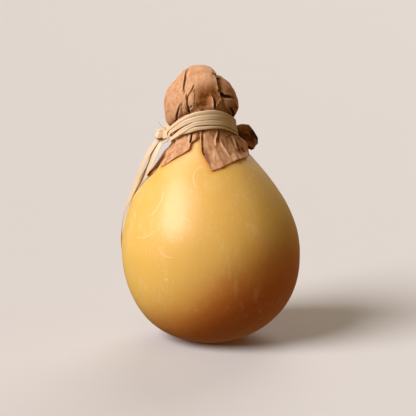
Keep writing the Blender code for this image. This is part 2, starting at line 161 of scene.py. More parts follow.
# Darker places of the cap: painted shade in its front hollow, beside its overlapping folds and on its
# shaded right side, with some greasy stains: azimuth, elevation, reach in mm, strength
CAP_SHADE_AND_STAINS = (
    (1, 30, 3.4, 0.22),
    (0, 21, 4.2, 0.24),
    (11, 24, 3.8, 0.26),
    (0, 8, 4.2, 0.30),
    (11, 8, 3.8, 0.32),
    (4, -3, 2.6, 0.30),
    (22, 28, 3.0, 0.44),
    (28, 19, 2.8, 0.50),
    (29, 9, 2.4, 0.38),
    (38, 40, 1.6, 0.35),
    (38, 30, 1.6, 0.35),
    (42, 50, 2.2, 0.8),
    (56, 53, 2.4, 0.7),
    (41, 20, 2.2, 0.5),
    (52, 17, 2.2, 0.4),
    (58, 34, 8.0, 0.24),
    (50, -6, 3.0, 0.25),
    (66, -10, 4.2, 0.6),
    (80, -18, 4.0, 0.6),
    (150, -10, 6.0, 0.35),
    (-130, -8, 5.0, 0.35),
    (-165, 20, 4.0, 0.25),
)
# The same for the skirt, with heights in mm for elevations: painted shade under the left strip, along the
# front flap's rolled edge, on its shaded right and on the fin, with some greasy stains
SKIRT_SHADE_AND_STAINS = (
    (-66, 102, 2.6, 0.9),
    (-72, 97, 2.6, 0.9),
    (-80, 93, 3.2, 0.65),
    (-92, 92, 4.5, 0.45),
    (-80, 101, 4.5, 0.5),
    (-62, 109, 3.0, 0.5),
    (0, 107, 1.5, 0.36),
    (0, 109.5, 1.5, 0.36),
    (-0.5, 112, 1.5, 0.36),
    (-1, 114.5, 1.5, 0.36),
    (4, 106, 2.2, 0.25),
    (14, 113, 3.0, 0.20),
    (31, 113, 2.4, 0.30),
    (40, 110, 2.6, 0.22),
    (50, 112.5, 2.6, 0.30),
    (52, 107, 2.2, 0.25),
    (70, 110, 4.0, 0.40),
    (58, 106.4, 3.0, 0.65),
    (69, 107, 2.6, 0.4),
    (84, 112, 3.0, 0.4),
    (100, 112, 5.0, 1.0),
    (109, 112, 8.0, 1.05),
    (116, 108, 6.0, 0.6),
    (-150, 104, 5.0, 0.3),
)

# Cut edge of the paper: azimuth in degrees, height and standoff from the shoulder in mm
HEM = (
    (-176, 104, 2.6),
    (-150, 95, 1.6),
    (-128, 104, 2.8),
    (-116, 98, 1.8),
    (-107, 94.0, 1.6),
    (-98, 91.8, 1.4),
    (-90, 91.0, 1.2),
    (-82, 91.6, 1.0),
    (-77, 93.8, 0.9),
    (-70, 98.5, 0.8),
    (-65, 102.5, 0.7),
    (-61, 104.5, 0.7),
    (-58.5, 103.5, 0.7),
    (-55, 98.2, 0.7),
    (-36, 104.0, 0.8),
    (-18.8, 108.6, 1.2),
    (-17.4, 111.9, 1.5),
    (-10, 113.5, 1.4),
    (-3, 115.0, 1.3),
    (-1.4, 107.2, 2.2),
    (1.2, 105.0, 2.4),
    (7.8, 98.3, 0.7),
    (39.5, 102.4, 0.9),
    (64, 103.4, 1.8),
    (73, 104.6, 2.6),
    (79, 106.6, 3.4),
    (86, 108.2, 3.8),
    (93, 108.2, 4.0),
    (100, 106.0, 4.0),
    (119, 106.0, 4.0),
    (146, 95, 1.5),
    (168, 103, 3.0),
)
# How far below its cut edge the painted glow of light through the paper reaches on the cheese, and how many
# spots of that edge stand for it
GLOW_REACH = 1.8 * MM
EDGE_SPOTS = 2880
# The skirt's knee: how far out and down it is between the tie and the hem, as shares
KNEE_OUT, KNEE_DOWN = 0.12, 0.38
# Beside the fin the skirt goes out before it goes down: azimuth and spread in degrees, shares out and up
OUT_FIRST_AZIMUTH, OUT_FIRST_SPREAD = 88, 16
FIN_OUT, FIN_RAISE = 0.75, 0.30
# How high in mm the sheet lies over the cheese at least, how much closer it is below the knot, and where
# that is: azimuth and spread in degrees
SHEET_LIFT, CLOSER_BY = 0.7, 0.45
HEAD_LIFT = 0.5 * MM
CLOSE_AZIMUTH, CLOSE_SPREAD = -78, 17
# The fin of paper at the right: its azimuth and spread in degrees
FIN_AZIMUTH, FIN_SPREAD = 109.5, 9.0
# (radius, height) along the fin in mm
FIN_LINE = (
    (19.8, 111.2),
    (21.3, 111.9),
    (21.0, 114.3),
    (20.6, 116.6),
    (20.3, 118.3),
    (23.5, 118.9),
    (28.0, 118.4),
    (30.4, 115.6),
    (33.4, 110.8),
    (33.0, 107.2),
    (28.6, 103.4),
)
# The hollow of the cheese's shoulder beside the knot: azimuth and spread in degrees, depth in mm, and the
# heights between which it starts and between which it ends in mm
SIDE_HOLLOW = (-100, 38, 4.4, (79, 98), (112, 122))

# The tie, as in the model's own source
TIE_HEIGHT = 118.3 * MM
TIE_RISE = 5.2 * MM
TIE_SADDLE = 1.2 * MM
TIE_HIGHEST = 15.0
TIE_SAG, TIE_SAG_AZIMUTH, TIE_SAG_SPREAD = 2.6 * MM, -74.0, 26.0
TIE_TOP, TIE_FOOT = 4.8 * MM, 5.4 * MM
STRAND_STANDOFF = 1.6 * MM
# Courses of the tie: azimuth in degrees, then rise over the tie's middle line, how far it stands out and
# width in mm. The upper two turn back on themselves in a loop at the left.
TOP_COURSE = (
    (-56, -4.6, 0.7, 1),
    (-58.9, -3.2, 1.5, 1.5),
    (-61.6, -1.3, 1.6, 1.8),
    (-61.9, 0.2, 1.5, 1.8),
    (-58.5, 1.1, 1.3, 1.8),
    (-52.7, 1.3, 1.1, 1.75),
    (-39, 1.9, 0.7, 1.75),
    (-30.5, 2.3, 0.45, 1.8),
    (-22, 2.85, 0.25, 1.9),
    (-8, 3.3, 0.1, 2.1),
    (7, 3.35, 0.1, 2.2),
    (20, 3.5, 0.1, 2.2),
    (36, 3.25, 0, 2.2),
    (50, 2.65, 0, 2.1),
    (69, 2.2, 0, 1.9),
    (95, 2.3, 0, 1.9),
    (120, 3, 0, 2),
    (150, 3.4, 0, 2),
    (180, 3.4, 0, 2.1),
    (215, 3.1, 0, 1.9),
    (250, 2.6, 0, 1.8),
    (275, 2.2, 0, 1.7),
    (291, 2, 0, 1.5),
)
WIDE_COURSE = (
    (-53, -4.6, 0.4, 1),
    (-56.4, -3.4, 1.1, 1.4),
    (-56.7, -2.4, 1.2, 1.7),
    (-55.9, -1.3, 1.1, 1.8),
    (-53.2, -0.85, 1, 1.85),
    (-49.8, -0.8, 0.9, 1.95),
    (-35.8, -0.4, 0.6, 2.45),
    (-27.5, 0.05, 0.4, 2.65),
    (-20, 0.38, 0.25, 2.75),
    (-11.4, 0.57, 0.15, 2.8),
    (-2.8, 0.75, 0.1, 2.85),
    (7, 0.75, 0.1, 2.9),
    (20, 0.75, 0.1, 3),
    (36, 0.6, 0.1, 3.1),
    (52, 0.1, 0.1, 3),
    (74, -0.3, 0, 2.6),
    (95, -0.3, 0, 2.6),
    (120, 0.1, 0, 2.9),
    (150, 0.3, 0, 3),
    (180, 0.3, 0, 3.1),
    (215, 0.2, 0, 2.9),
    (250, 0, 0, 2.6),
    (275, -0.3, 0, 2.3),
    (290, -0.4, 0, 2.1),
)
LOWER_COURSE = (
    (-54.8, -5.4, 0.9, 1.9),
    (-53, -5.05, 0.95, 2),
    (-48, -4.7, 0.85, 2.1),
    (-39, -4.1, 0.65, 2.6),
    (-30, -3.6, 0.5, 2.75),
    (-22.5, -3, 0.4, 2.5),
    (-17, -2.6, 0.35, 2.35),
    (-8, -2.05, 0.3, 2.45),
    (7, -2.1, 0.25, 2.6),
    (20, -2.15, 0.2, 2.65),
    (35, -2.2, 0.15, 2.5),
    (51, -2.5, 0.1, 2.2),
    (72, -2.9, 0.1, 2),
    (95, -2.6, 0.1, 1.7),
    (120, -2.3, 0.1, 1.7),
    (150, -2.5, 0.1, 1.9),
    (180, -2.4, 0.1, 2),
    (215, -2.4, 0.1, 1.8),
    (250, -2.4, 0.1, 1.7),
    (280, -2.6, 0, 1.5),
)
FOOT_COURSE = (
    (-44, -4.9, 0, 0.8),
    (-27.4, -5.1, 0.1, 1.3),
    (-18.6, -5, 0.1, 1.9),
    (-8.7, -4.6, 0.1, 2),
    (6.5, -4.75, 0.05, 1.8),
    (18, -4.6, 0.05, 1.6),
    (33, -4.5, 0.05, 1.45),
    (50, -4.7, 0, 1.25),
    (70, -4.9, 0, 1.2),
    (95, -4.5, 0, 1.3),
    (120, -4.4, 0, 1.4),
    (180, -4.6, 0, 1.5),
    (230, -4.3, 0, 1.3),
    (270, -4.3, 0, 1.1),
    (298, -4.6, 0, 0.9),
)
# Strands of the tie: node, grooves across it, course
TIE_STRANDS = (
    ("tie_turn_top", (), TOP_COURSE),
    ("tie_turn_wide", (), WIDE_COURSE),
    ("tie_turn_lower", (-0.1,), LOWER_COURSE),
    ("tie_turn_foot", (), FOOT_COURSE),
)
MM_PER_DEGREE = 0.38
STRAND_STEPS = 340
# Points over a strand's outer face, and how far apart strands lie in the pattern of the raffia's finish
STRAND_CORNERS = 19
PATTERN_STEP = 7.3
# A strand's grooves, as shares of half its thickness and half its width
GROOVE_DEPTH, GROOVE_REACH = 0.55, 0.11
# How far a turn of the tie wanders up and down, how much it twists in radians, how its width varies
TURN_WANDER, TURN_TWIST, TURN_UNEVEN = 0.06 * MM, 0.14, 0.05

# The knot's folded block from left to right: x, its lower and upper edge in mm
KNOT_BLOCK = (
    (-28.8, 112.3, 115.4),
    (-28.2, 112.2, 116.4),
    (-27.2, 112.3, 117.1),
    (-26.2, 112.5, 117.5),
    (-25.1, 112.8, 117.2),
    (-24.1, 113.1, 116.4),
    (-23.1, 113.4, 115.6),
)
# Its middle and half its depth in mm, front to back, and the thickness of its raffia
KNOT_DEPTH, KNOT_HALF_DEPTH = -2.4, 1.3
KNOT_THICKNESS = 0.8 * MM
# Points along the block and along each of the pieces below
KNOT_STEPS, BIT_STEPS = 96, 40
# Small pieces of the knot: name, thickness in mm, then (x, y, z, width) along each in mm
KNOT_BITS = (
    (
        "under", 0.5,
        (
            (-27, -1, 113.2, 1.2),
            (-25.8, -2.2, 113.3, 1.8),
            (-24.2, -4.4, 113.6, 2.4),
            (-22.2, -7.4, 114, 2.4),
        ),
    ),
    (
        "tip", 0.4,
        (
            (-25, -3.6, 112.9, 0.5),
            (-24.2, -5.2, 112.8, 0.8),
            (-23.4, -6.8, 113.2, 0.8),
            (-22.5, -8.2, 113.9, 0.6),
        ),
    ),
    (
        "bridge", 0.9,
        (
            (-25, -2.4, 115.2, 3.2),
            (-24, -3.8, 115.3, 3.6),
            (-23, -5.6, 115.4, 3.6),
            (-22.2, -7.2, 115.5, 3.2),
        ),
    ),
    (
        "back_loop", 0.4,
        (
            (-25, -1.6, 116.4, 1.2),
            (-24, -1.8, 117.8, 1.8),
            (-22.8, -2.6, 118.4, 2),
            (-21, -4.4, 118.4, 1.6),
        ),
    ),
    (
        "stray_fibre", 0.16,
        (
            (-23.8, -3.2, 117, 0.42),
            (-25.2, -3.4, 119, 0.34),
            (-26.4, -3.5, 120.4, 0.26),
            (-27.3, -3.4, 122, 0.16),
        ),
    ),
)

# The tails, as in the model's own source: width, heights between which the flat side turns, free points,
# then azimuths and heights where they rest on the cheese, all in mm and degrees
TAIL_GAP = 0.4 * MM
STRAND_THICKNESS = 0.6 * MM
OUTER_TAIL = (
    2.7,
    (54, 80),
    (
        (-26.9, -1.3, 112.2),
        (-28.0, -1.4, 110.3),
        (-30.4, -1.6, 107.4),
        (-33.0, -1.7, 103.4),
        (-35.3, -1.6, 98.7),
        (-37.5, -1.2, 93.5),
        (-39.5, -0.7, 88.7),
        (-41.5, 0.0, 84.0),
        (-44.4, 0.8, 75.5),
        (-46.8, 2.0, 66.8),
    ),
    ((-94.5, 58.5), (-98.5, 50.5), (-104.0, 43.5), (-111.0, 37.5)),
)
INNER_TAIL = (
    3.5,
    (74, 92),
    (
        (-25.2, -1.7, 112.2),
        (-26.2, -2.0, 110.0),
        (-28.8, -2.9, 105.3),
        (-31.0, -3.4, 101.4),
        (-32.9, -3.2, 97.7),
        (-34.8, -1.8, 93.7),
    ),
    ((-91.5, 89.0), (-96.0, 83.5), (-102.0, 76.0), (-109.0, 68.0), (-116.5, 60.5), (-124.5, 53.5)),
)
TAIL_STEPS = 32
FINE_STEPS = 150
# How far each tail's strip lies off the model's line: height, x and y in mm
OUTER_ASIDE = ((60, 0, 0), (74, 0.35, 0), (86, 0.35, 0), (94, 0, 0))
INNER_ASIDE = (
    (70, 0, 0),
    (79, 0.3, 0),
    (86, 1.6, 0),
    (93, 2.1, 0.1),
    (98, 1.0, 0.3),
    (105, -0.2, 0.4),
    (112, -0.4, 0.4),
)
# The ways that the flat sides of the outer and the inner tail face below the knot
SHOWN_SIDE = (-0.35, -0.93, 0.1)
TURNED_SIDE = (-0.66, -0.74, 0.1)
# Both tails: node, settings, way it faces, width as a share of the model's, offsets, grooves across it,
# seed, place in the raffia's pattern
TAILS = (
    ("tail_outer", OUTER_TAIL, SHOWN_SIDE, 1.12, OUTER_ASIDE, (0.1, -0.5), 31, 4),
    ("tail_inner", INNER_TAIL, TURNED_SIDE, 1.5, INNER_ASIDE, (-0.35, 0.25), 47, 5),
)
# A tail is wider by this share at this height, over this reach, both in mm
WIDER_BY, WIDEST_HEIGHT, WIDE_REACH = 0.28, 80, 10
# Its widths at its tied and its loose end as shares of the rest's
TIED_END = (0.72, 0.82, 0.91, 0.97)
LOOSE_END = (0.97, 0.91, 0.8, 0.66)

# The stage: half the floor's width in metres, and the colour of the light from all round
FLOOR_HALF = 12.0
SKY_COLOUR = (1.0, 0.65, 0.28, 1.0)
# Lights: name, azimuth, elevation and softness in degrees, colour
LIGHTS = (
    ("key", -56, 36, 38, (1.0, 0.95, 0.96)),
    ("fill", 74, 24, 34, (1.0, 0.78, 0.48)),
    ("back", 168, 30, 40, (1.0, 0.95, 0.90)),
)
# The camera: film and lens in mm, elevation in degrees, distance in metres from the point it aims at, and
# that point's place to the right and up in the picture
FILM_WIDTH, LENS = 36.0, 139.4
CAMERA_ELEVATION = 10.5
CAMERA_DISTANCE = 0.9
AIM_RIGHT, AIM_UP = -0.28 * MM, 71.99 * MM

# Sharp creases of the cap: kind, size, second size and reach in mm, then azimuth, elevation and strength
# along each. A slit has a depth and lips, a ridge or valley a height, and a step rises left of its line and
# drops right of it.
CAP_CREASES = (
    (
        "slit", 1.4, 0.15, 0.52,
        ((-60, 65, 0.3), (-44, 55, 0.8), (-37, 46, 1), (-33, 34, 0.9), (-31, 23, 0.3)),
    ),
    ("ridge", 0.35, 0, 1.6, ((-31, 23, 0.4), (-32, 12, 1), (-34, 3, 0.4))),
    ("step", 0.4, 0.35, 2.2, ((-14, 35, 0.8), (-16, 27, 1), (-22, 18, 1), (-24, 12, 0.3))),
    ("slit", 0.5, 0, 0.45, ((-14, 35, 1), (-16, 27, 1), (-22, 18, 1), (-24, 12, 0.6))),
    ("slit", 0.5, 0, 0.45, ((-11, 29, 0.4), (-12, 24, 0.8))),
    ("slit", 1.1, 0.1, 0.5, ((-22, 14, 0.4), (-21, 5, 0.9), (-20, -4, 1), (-20, -14, 1))),
    ("slit", 0.8, 0, 0.4, ((-25, 5, 0.5), (-23, -2, 1), (-20, -10, 0.8))),
    ("ridge", 0.7, 0, 0.9, ((-26, 6, 0.3), (-24, -2, 0.9), (-22, -9, 0.7))),
    (
        "slit", 1.3, 0.15, 0.6,
        ((-33, 5, 0.3), (-36, -2, 0.8), (-40, -10, 1), (-50, -24, 1), (-56, -30, 0.8)),
    ),
    ("step", 0.2, 0.2, 3.2, ((-12, 33, 0.3), (-11, 22, 1), (-11, 10, 1), (-10, 1, 0.3))),
    ("ridge", 1.3, 0, 1.15, ((19, 22, 0.3), (20, 12, 1), (21, 2, 1), (23, -9, 0.9))),
    ("slit", 1, 0, 0.7, ((24, 17, 0.2), (24, 8, 0.8), (25, -2, 1))),
    ("ridge", 0.8, 0, 0.8, ((34, 11, 0.5), (28, 4, 1), (24, -6, 0.9))),
    ("slit", 0.9, 0, 0.4, ((-14, 2, 0.8), (-17, -1, 1))),
    ("step", 0.3, 0.7, 1.3, ((-6, 3, 0.6), (-3, -3, 1), (0, -9, 0.9))),
    ("slit", 0.8, 0, 0.6, ((3, -4, 0.6), (3, -7, 1))),
    ("ridge", 0.6, 0, 1, ((9, 0, 0.2), (10, -6, 0.9))),
    ("ridge", 0.25, 0, 1.6, ((-6, 28, 0.2), (-3, 20, 0.9), (-6, 13, 0.3))),
    ("ridge", 0.25, 0, 1.4, ((5, 27, 0.3), (9, 22, 1), (8, 17, 0.3))),
    ("ridge", 0.25, 0, 1.4, ((-5, 6, 0.3), (2, 10, 0.9), (10, 12, 0.4))),
    (
        "step", 0.3, 1.7, 1.9,
        (
            (60, 72, 0.3),
            (36, 59, 0.9),
            (34, 51, 1),
            (34, 44, 1),
            (33, 32, 0.9),
            (34, 24, 0.6),
            (35, 14, 0.1),
        ),
    ),
    ("slit", 1.1, 0, 1.3, ((34, 53, 0.6), (42, 52, 1), (60, 53, 0.8), (76, 53, 0.3))),
    ("slit", 1.3, 0.3, 0.9, ((34, 25, 0.6), (43, 21, 0.9), (47, 16, 1), (55, 14, 0.9), (69, 11, 0.4))),
    ("slit", 1.3, 0.2, 0.8, ((57, -4, 0.4), (70, -12, 1), (86, -22, 0.9))),
    ("slit", 1, 0.2, 0.6, ((72, 1, 0.3), (82, -8, 1), (92, -16, 0.8))),
    ("ridge", 0.7, 0, 1.6, ((44, 11, 0.4), (46, 3, 1), (51, -6, 0.5))),
    ("ridge", 0.6, 0, 3, ((74, 38, 0.3), (71, 20, 0.8), (77, 2, 0.6))),
    ("ridge", 0.4, 0, 3.6, ((-78, 30, 0.2), (-68, 14, 0.7), (-60, -6, 0.4))),
    ("valley", 0.4, 0, 2.4, ((-20, 62, 0.4), (-16, 50, 0.7), (-6, 42, 0.3))),
    ("ridge", 0.4, 0, 2.6, ((10, 66, 0.3), (12, 52, 0.8), (6, 42, 0.2))),
    ("ridge", 0.4, 0, 2.2, ((24, 66, 0.3), (25, 54, 0.9), (20, 44, 0.4))),
    ("slit", 0.9, 0.2, 0.6, ((108, 52, 0.3), (114, 36, 1), (116, 18, 1), (118, 2, 0.5))),
    ("slit", 1, 0.2, 0.6, ((138, 20, 0.3), (138, 4, 1), (140, -14, 1), (140, -26, 0.8))),
    ("slit", 0.8, 0.2, 0.6, ((178, 48, 0.3), (-179, 32, 1), (179, 14, 1), (-179, -4, 0.4))),
    ("step", 0.5, 1, 2.6, ((158, 60, 0.3), (154, 42, 1), (160, 22, 1), (154, 0, 0.5))),
    ("slit", 1, 0.2, 0.5, ((-152, 26, 0.3), (-153, 10, 1), (-152, -8, 1), (-153, -24, 0.8))),
    ("slit", 0.8, 0.2, 0.5, ((-126, 56, 0.3), (-120, 40, 1), (-119, 24, 0.6))),
    ("step", 0.4, 0.9, 2.4, ((-96, 50, 0.3), (-90, 34, 1), (-96, 16, 0.9), (-90, -4, 0.4))),
    ("slit", 0.9, 0.2, 0.5, ((-103, 12, 0.3), (-102, -4, 1), (-104, -20, 0.9))),
    ("ridge", 0.9, 0, 1.6, ((-132, 4, 0.3), (-130, -10, 1), (-134, -24, 0.8))),
    ("ridge", 0.9, 0, 1.6, ((160, 2, 0.3), (164, -10, 1), (160, -24, 0.8))),
    ("ridge", 0.8, 0, 1.6, ((98, 6, 0.3), (94, -8, 1), (97, -22, 0.8))),
)
# Sharp creases of the skirt: the same, with heights in mm for elevations
SKIRT_CREASES = (
    ("slit", 1.3, 0.1, 0.55, ((-16, 119, 0.8), (-17.3, 116, 1), (-18.6, 112, 1))),
    (
        "slit", 0.75, 0, 0.8,
        ((4.5, 119, 0.8), (2, 115.9, 1), (0.8, 112, 1), (0.4, 108, 1), (2.5, 104.5, 0.3)),
    ),
    ("ridge", 1, 0, 0.95, ((31, 121, 1), (29, 117, 1), (27, 115.4, 1), (22, 113.3, 1), (21, 110.4, 0.4))),
    ("slit", 0.5, 0, 1.1, ((35, 119, 0.8), (31, 115, 1), (28, 112, 0.5))),
    (
        "ridge", 0.8, 0, 1.2,
        ((33, 115, 0.3), (31, 111.5, 0.9), (33, 108.7, 1), (35, 106.5, 0.9), (35, 103, 0.4)),
    ),
    (
        "ridge", 1.2, 0, 0.95,
        ((46, 120, 1), (56, 116.8, 1), (62, 115, 1), (62, 112.4, 1), (60, 110, 0.9), (56, 107.3, 0.4)),
    ),
    ("slit", 0.4, 0, 1, ((67, 113, 0.5), (65, 110, 1), (60, 107, 0.5))),
    ("ridge", 0.6, 0, 1.4, ((48, 108, 0.3), (46, 105.5, 0.9), (44, 102.8, 0.6))),
    ("step", 0.2, 0.5, 1.5, ((60, 115, 0.8), (52, 114.4, 1), (45, 114.6, 0.3))),
    ("slit", 1, 0, 0.5, ((67, 107.6, 0.8), (66, 106, 1))),
    ("ridge", 0.5, 0, 2.4, ((-32, 116, 0.3), (-35, 110, 0.9), (-41, 103, 0.4))),
    ("valley", 0.5, 0, 1.6, ((-27, 117, 0.5), (-26, 112, 0.8), (-27, 108, 0.3))),
    ("ridge", 0.7, 0, 1.2, ((-44, 115, 0.6), (-47, 112, 1), (-46, 109, 0.3))),
    ("valley", 0.7, 0, 1, ((-50, 114, 0.6), (-50, 110.5, 1), (-52, 107, 0.6))),
    ("ridge", 0.6, 0, 1.2, ((-53, 113, 0.4), (-54, 108.5, 1), (-58, 104, 0.4))),
    ("slit", 0.9, 0.1, 0.6, ((-60, 111, 0.5), (-60, 106, 1), (-58, 101, 0.8))),
    ("ridge", 0.5, 0, 1.4, ((-9, 118, 0.5), (-10, 115.5, 0.9), (-12, 113, 0.5))),
    ("valley", 0.5, 0, 1, ((-6, 118, 0.5), (-4, 116, 0.9), (-6, 114, 0.5))),
    ("ridge", 0.9, 0, 1.6, ((82, 114, 0.8), (80, 110, 1), (82, 106, 0.4))),
    ("ridge", 0.9, 0, 1.6, ((128, 112, 0.8), (132, 106, 1), (136, 99, 0.4))),
    ("slit", 0.9, 0.2, 0.6, ((155, 111, 0.8), (154, 105, 1), (155, 100, 0.8))),
    ("ridge", 1, 0, 1.6, ((176, 112, 0.8), (-178, 107, 1), (-180, 103, 0.4))),
    ("ridge", 1, 0, 1.6, ((-160, 112, 0.8), (-156, 105, 1), (-153, 98, 0.4))),
    ("slit", 0.9, 0.2, 0.6, ((-136, 111, 0.8), (-137, 106, 1), (-135, 102, 0.8))),
    ("ridge", 0.9, 0, 1.4, ((-116, 110, 0.8), (-112, 104, 1), (-114, 99, 0.4))),
    ("valley", 0.7, 0, 1.6, ((-106, 108, 0.6), (-104, 100, 1), (-102, 94, 0.4))),
)


# Sizes and colours that a user would change
COLOUR = {"size": 3, "subtype": "COLOR"}


class MANTECA_PG_cheese(bpy.types.PropertyGroup):
    columns: IntProperty(name="Columns", description="Faces round the cheese", default=256, min=48)
    rows: IntProperty(name="Rows", description="Faces up the cheese", default=220, min=48)
    unevenness: FloatProperty(
        name="Unevenness", description="Height of the moulded lumps", default=0.35 * MM, unit="LENGTH"
    )
    wax: FloatVectorProperty(
        name="Wax", description="Colour of the cheese's outside", default=(0.76, 0.482, 0.106), **COLOUR
    )
    # The base colour below is partly the cheese's own and partly painted shade of its lower, right side
    amber_shade: FloatVectorProperty(
        name="Amber", description="Deeper colour towards its base", default=(0.60, 0.145, 0.004), **COLOUR
    )
    bloom: FloatVectorProperty(
        name="Bloom", description="Colour of specks and scuffs", default=(0.94, 0.74, 0.45), **COLOUR
    )
    # Colour of a painted glow, of light passing through the greasy paper onto the cheese below its edge
    oil: FloatVectorProperty(
        name="Oil", description="Colour where the paper has oiled it", default=(0.78, 0.31, 0.02), **COLOUR
    )


class MANTECA_PG_paper(bpy.types.PropertyGroup):
    columns: IntProperty(name="Columns", description="Faces round the paper", default=400, min=60)
    cap_rows: IntProperty(name="Cap rows", description="Faces from its top to the tie", default=70, min=12)
    waist_rows: IntProperty(name="Waist rows", description="Faces under the tie", default=10, min=2)
    skirt_rows: IntProperty(name="Skirt rows", description="Faces below the tie", default=38, min=7)
    thickness: FloatProperty(name="Thickness", description="Of the paper", default=0.22 * MM, unit="LENGTH")
    crumple: FloatProperty(name="Crumple", description="Of broad facets", default=0.65 * MM, unit="LENGTH")
    wrinkle: FloatProperty(name="Wrinkle", description="Of small facets", default=0.26 * MM, unit="LENGTH")
    kraft: FloatVectorProperty(
        name="Kraft", description="Colour of the paper", default=(0.60, 0.335, 0.18), **COLOUR
    )
    worn: FloatVectorProperty(
        name="Worn", description="Colour along its creases", default=(0.72, 0.45, 0.27), **COLOUR
    )
    # Colour of greasy stains, also used for the painted shade in creases, slits, hollows and shaded places
    soaked: FloatVectorProperty(
        name="Soaked", description="Colour where oil has soaked it", default=(0.30, 0.10, 0.018), **COLOUR
    )
    seed: IntProperty(name="Seed", description="Of the crumpling", default=7)


class MANTECA_PG_raffia(bpy.types.PropertyGroup):
    thickness: FloatProperty(
        name="Thickness", description="Of a strand", default=STRAND_THICKNESS, unit="LENGTH"
    )
    relief: FloatProperty(name="Relief", description="Of its fibres", default=0.008 * MM, unit="LENGTH")
    straw: FloatVectorProperty(
        name="Straw", description="Colour of the raffia", default=(0.86, 0.675, 0.455), **COLOUR
    )
    husk: FloatVectorProperty(
        name="Husk", description="Colour of its darker fibres", default=(0.68, 0.49, 0.29), **COLOUR
    )
    # Colour of a painted shadow that the outer tail casts along the inner tail's edge
    edge: FloatVectorProperty(
        name="Edge", description="Colour of one tail's brown edge", default=(0.30, 0.13, 0.02), **COLOUR
    )


class MANTECA_PG_stage(bpy.types.PropertyGroup):
    floor: FloatVectorProperty(
        name="Floor", description="Colour of the floor", default=(0.62, 0.61, 0.60), **COLOUR
    )
    key: FloatProperty(name="Key light", description="Strength of the light from the left", default=4.35)
    fill: FloatProperty(name="Fill light", description="Strength of the light from the right", default=0.16)
    back: FloatProperty(name="Back light", description="Strength of the light from behind", default=1.2)
    sky: FloatProperty(name="Surround", description="Strength of the light from all round", default=0.17)


def ease(x):
    """A smooth step from 0 to 1 as x goes from 0 to 1."""
    x = np.clip(x, 0.0, 1.0)
    return x * x * (3.0 - 2.0 * x)


def hill(off, reach, power=2):
    """1 at the middle, falling to 0 past reach; a higher power makes it flatter on top and steeper."""
    return np.exp(-((off / reach) ** power))


def unit(vectors):
    """These vectors at length 1."""
    return vectors / np.linalg.norm(vectors, axis=-1)[..., None]


def turn_from(azimuth, degrees):
    """How far these azimuths in radians are from one in degrees, the shorter way round."""
    return (azimuth - math.radians(degrees) + math.pi) % TURN - math.pi


def middle_line(z):
    """(x, y) of the pear's middle line at height z."""
    table = np.array(MIDDLE_LINE) * MM
    around = np.asarray(z, float)[..., None] + np.linspace(-MIDDLE_SOFTNESS, MIDDLE_SOFTNESS, 9)
    return tuple(np.interp(around, table[:, 0], table[:, k]).mean(axis=-1) for k in (1, 2))


def outward(azimuth):
    """(x, y) of the direction away from the middle line at an azimuth in radians."""
    return np.sin(azimuth), -np.cos(azimuth)


def direction(azimuth, elevation):
    """Unit vectors at these angles in radians."""
    dx, dy = outward(azimuth)
    return np.stack([np.cos(elevation) * dx, np.cos(elevation) * dy, np.sin(elevation) + 0 * dx], axis=-1)


def pear_radius(z):
    """Radius of the cheese at height z."""
    z = np.asarray(z, float)
    down = np.clip((BELLY_HEIGHT - z) / LOWER_DEPTH, 0.0, 1.0)
    lower = BELLY_RADIUS * (1.0 - down**LOWER_POWER) ** (1.0 / LOWER_POWER)
    up = np.clip((z - BELLY_HEIGHT) / SHOULDER_HEIGHT, 0.0, 1.0)
    shoulder = BELLY_RADIUS * np.cos(0.5 * math.pi * up)
    body = np.where(z < BELLY_HEIGHT, lower, shoulder)
    neck = NECK_RADIUS * ((z > BELLY_HEIGHT) & (z < HEAD_HEIGHT))
    head = HEAD_RADIUS * np.sqrt(np.clip(1.0 - ((z - HEAD_HEIGHT) / HEAD_RADIUS) ** 2, 0.0, 1.0))
    return (body**JOIN_POWER + neck**JOIN_POWER + head**JOIN_POWER) ** (1.0 / JOIN_POWER)


def rind_radius(azimuth, z):
    """Radius of the cheese at an azimuth and height, with the hollow beside the knot."""
    middle, spread, depth, (low, full), (still, high) = SIDE_HOLLOW
    around = hill(turn_from(azimuth, middle), math.radians(spread), 4)
    up = ease((z / MM - low) / (full - low)) * ease((high - z / MM) / (high - still))
    return pear_radius(z) - around * up * depth * MM


def pear_normal(points):
    """Directions straight out from the cheese's surface beside these points."""
    x0, y0 = middle_line(points[:, 2])
    dx, dy = points[:, 0] - x0, points[:, 1] - y0
    away = np.hypot(dx, dy)
    slope = (pear_radius(points[:, 2] + MM) - pear_radius(points[:, 2] - MM)) / (2 * MM)
    return unit(np.stack([dx / away, dy / away, -slope], axis=1))


def place(azimuth, radius, z):
    """Points at these azimuths, radii and heights round the middle line."""
    x0, y0 = middle_line(z)
    dx, dy = outward(azimuth)
    return np.stack([x0 + radius * dx, y0 + radius * dy, z + 0 * radius], axis=-1)


def beside_knot(azimuth):
    """1 beside the knot, falling to 0 away from it."""
    return hill(turn_from(azimuth, TIE_SAG_AZIMUTH), math.radians(TIE_SAG_SPREAD))


def tie_height(azimuth):
    """Height of the tie's middle line round the neck."""
    from_top = azimuth - math.radians(TIE_HIGHEST)
    level = TIE_HEIGHT + TIE_RISE * np.cos(from_top) + TIE_SADDLE * np.cos(2 * from_top)
    return level - TIE_SAG * beside_knot(azimuth)


def band_foot_radius(azimuth):
    """Distance of the paper from the middle line at the tie's lower edge."""
    return np.maximum(WAIST_RADIUS, pear_radius(tie_height(azimuth) - TIE_FOOT) + PAPER_CLEARANCE)


def band_slope(azimuth):
    """How fast the band under the tie widens downwards."""
    return (band_foot_radius(azimuth) - WAIST_RADIUS) / (TIE_TOP + TIE_FOOT)


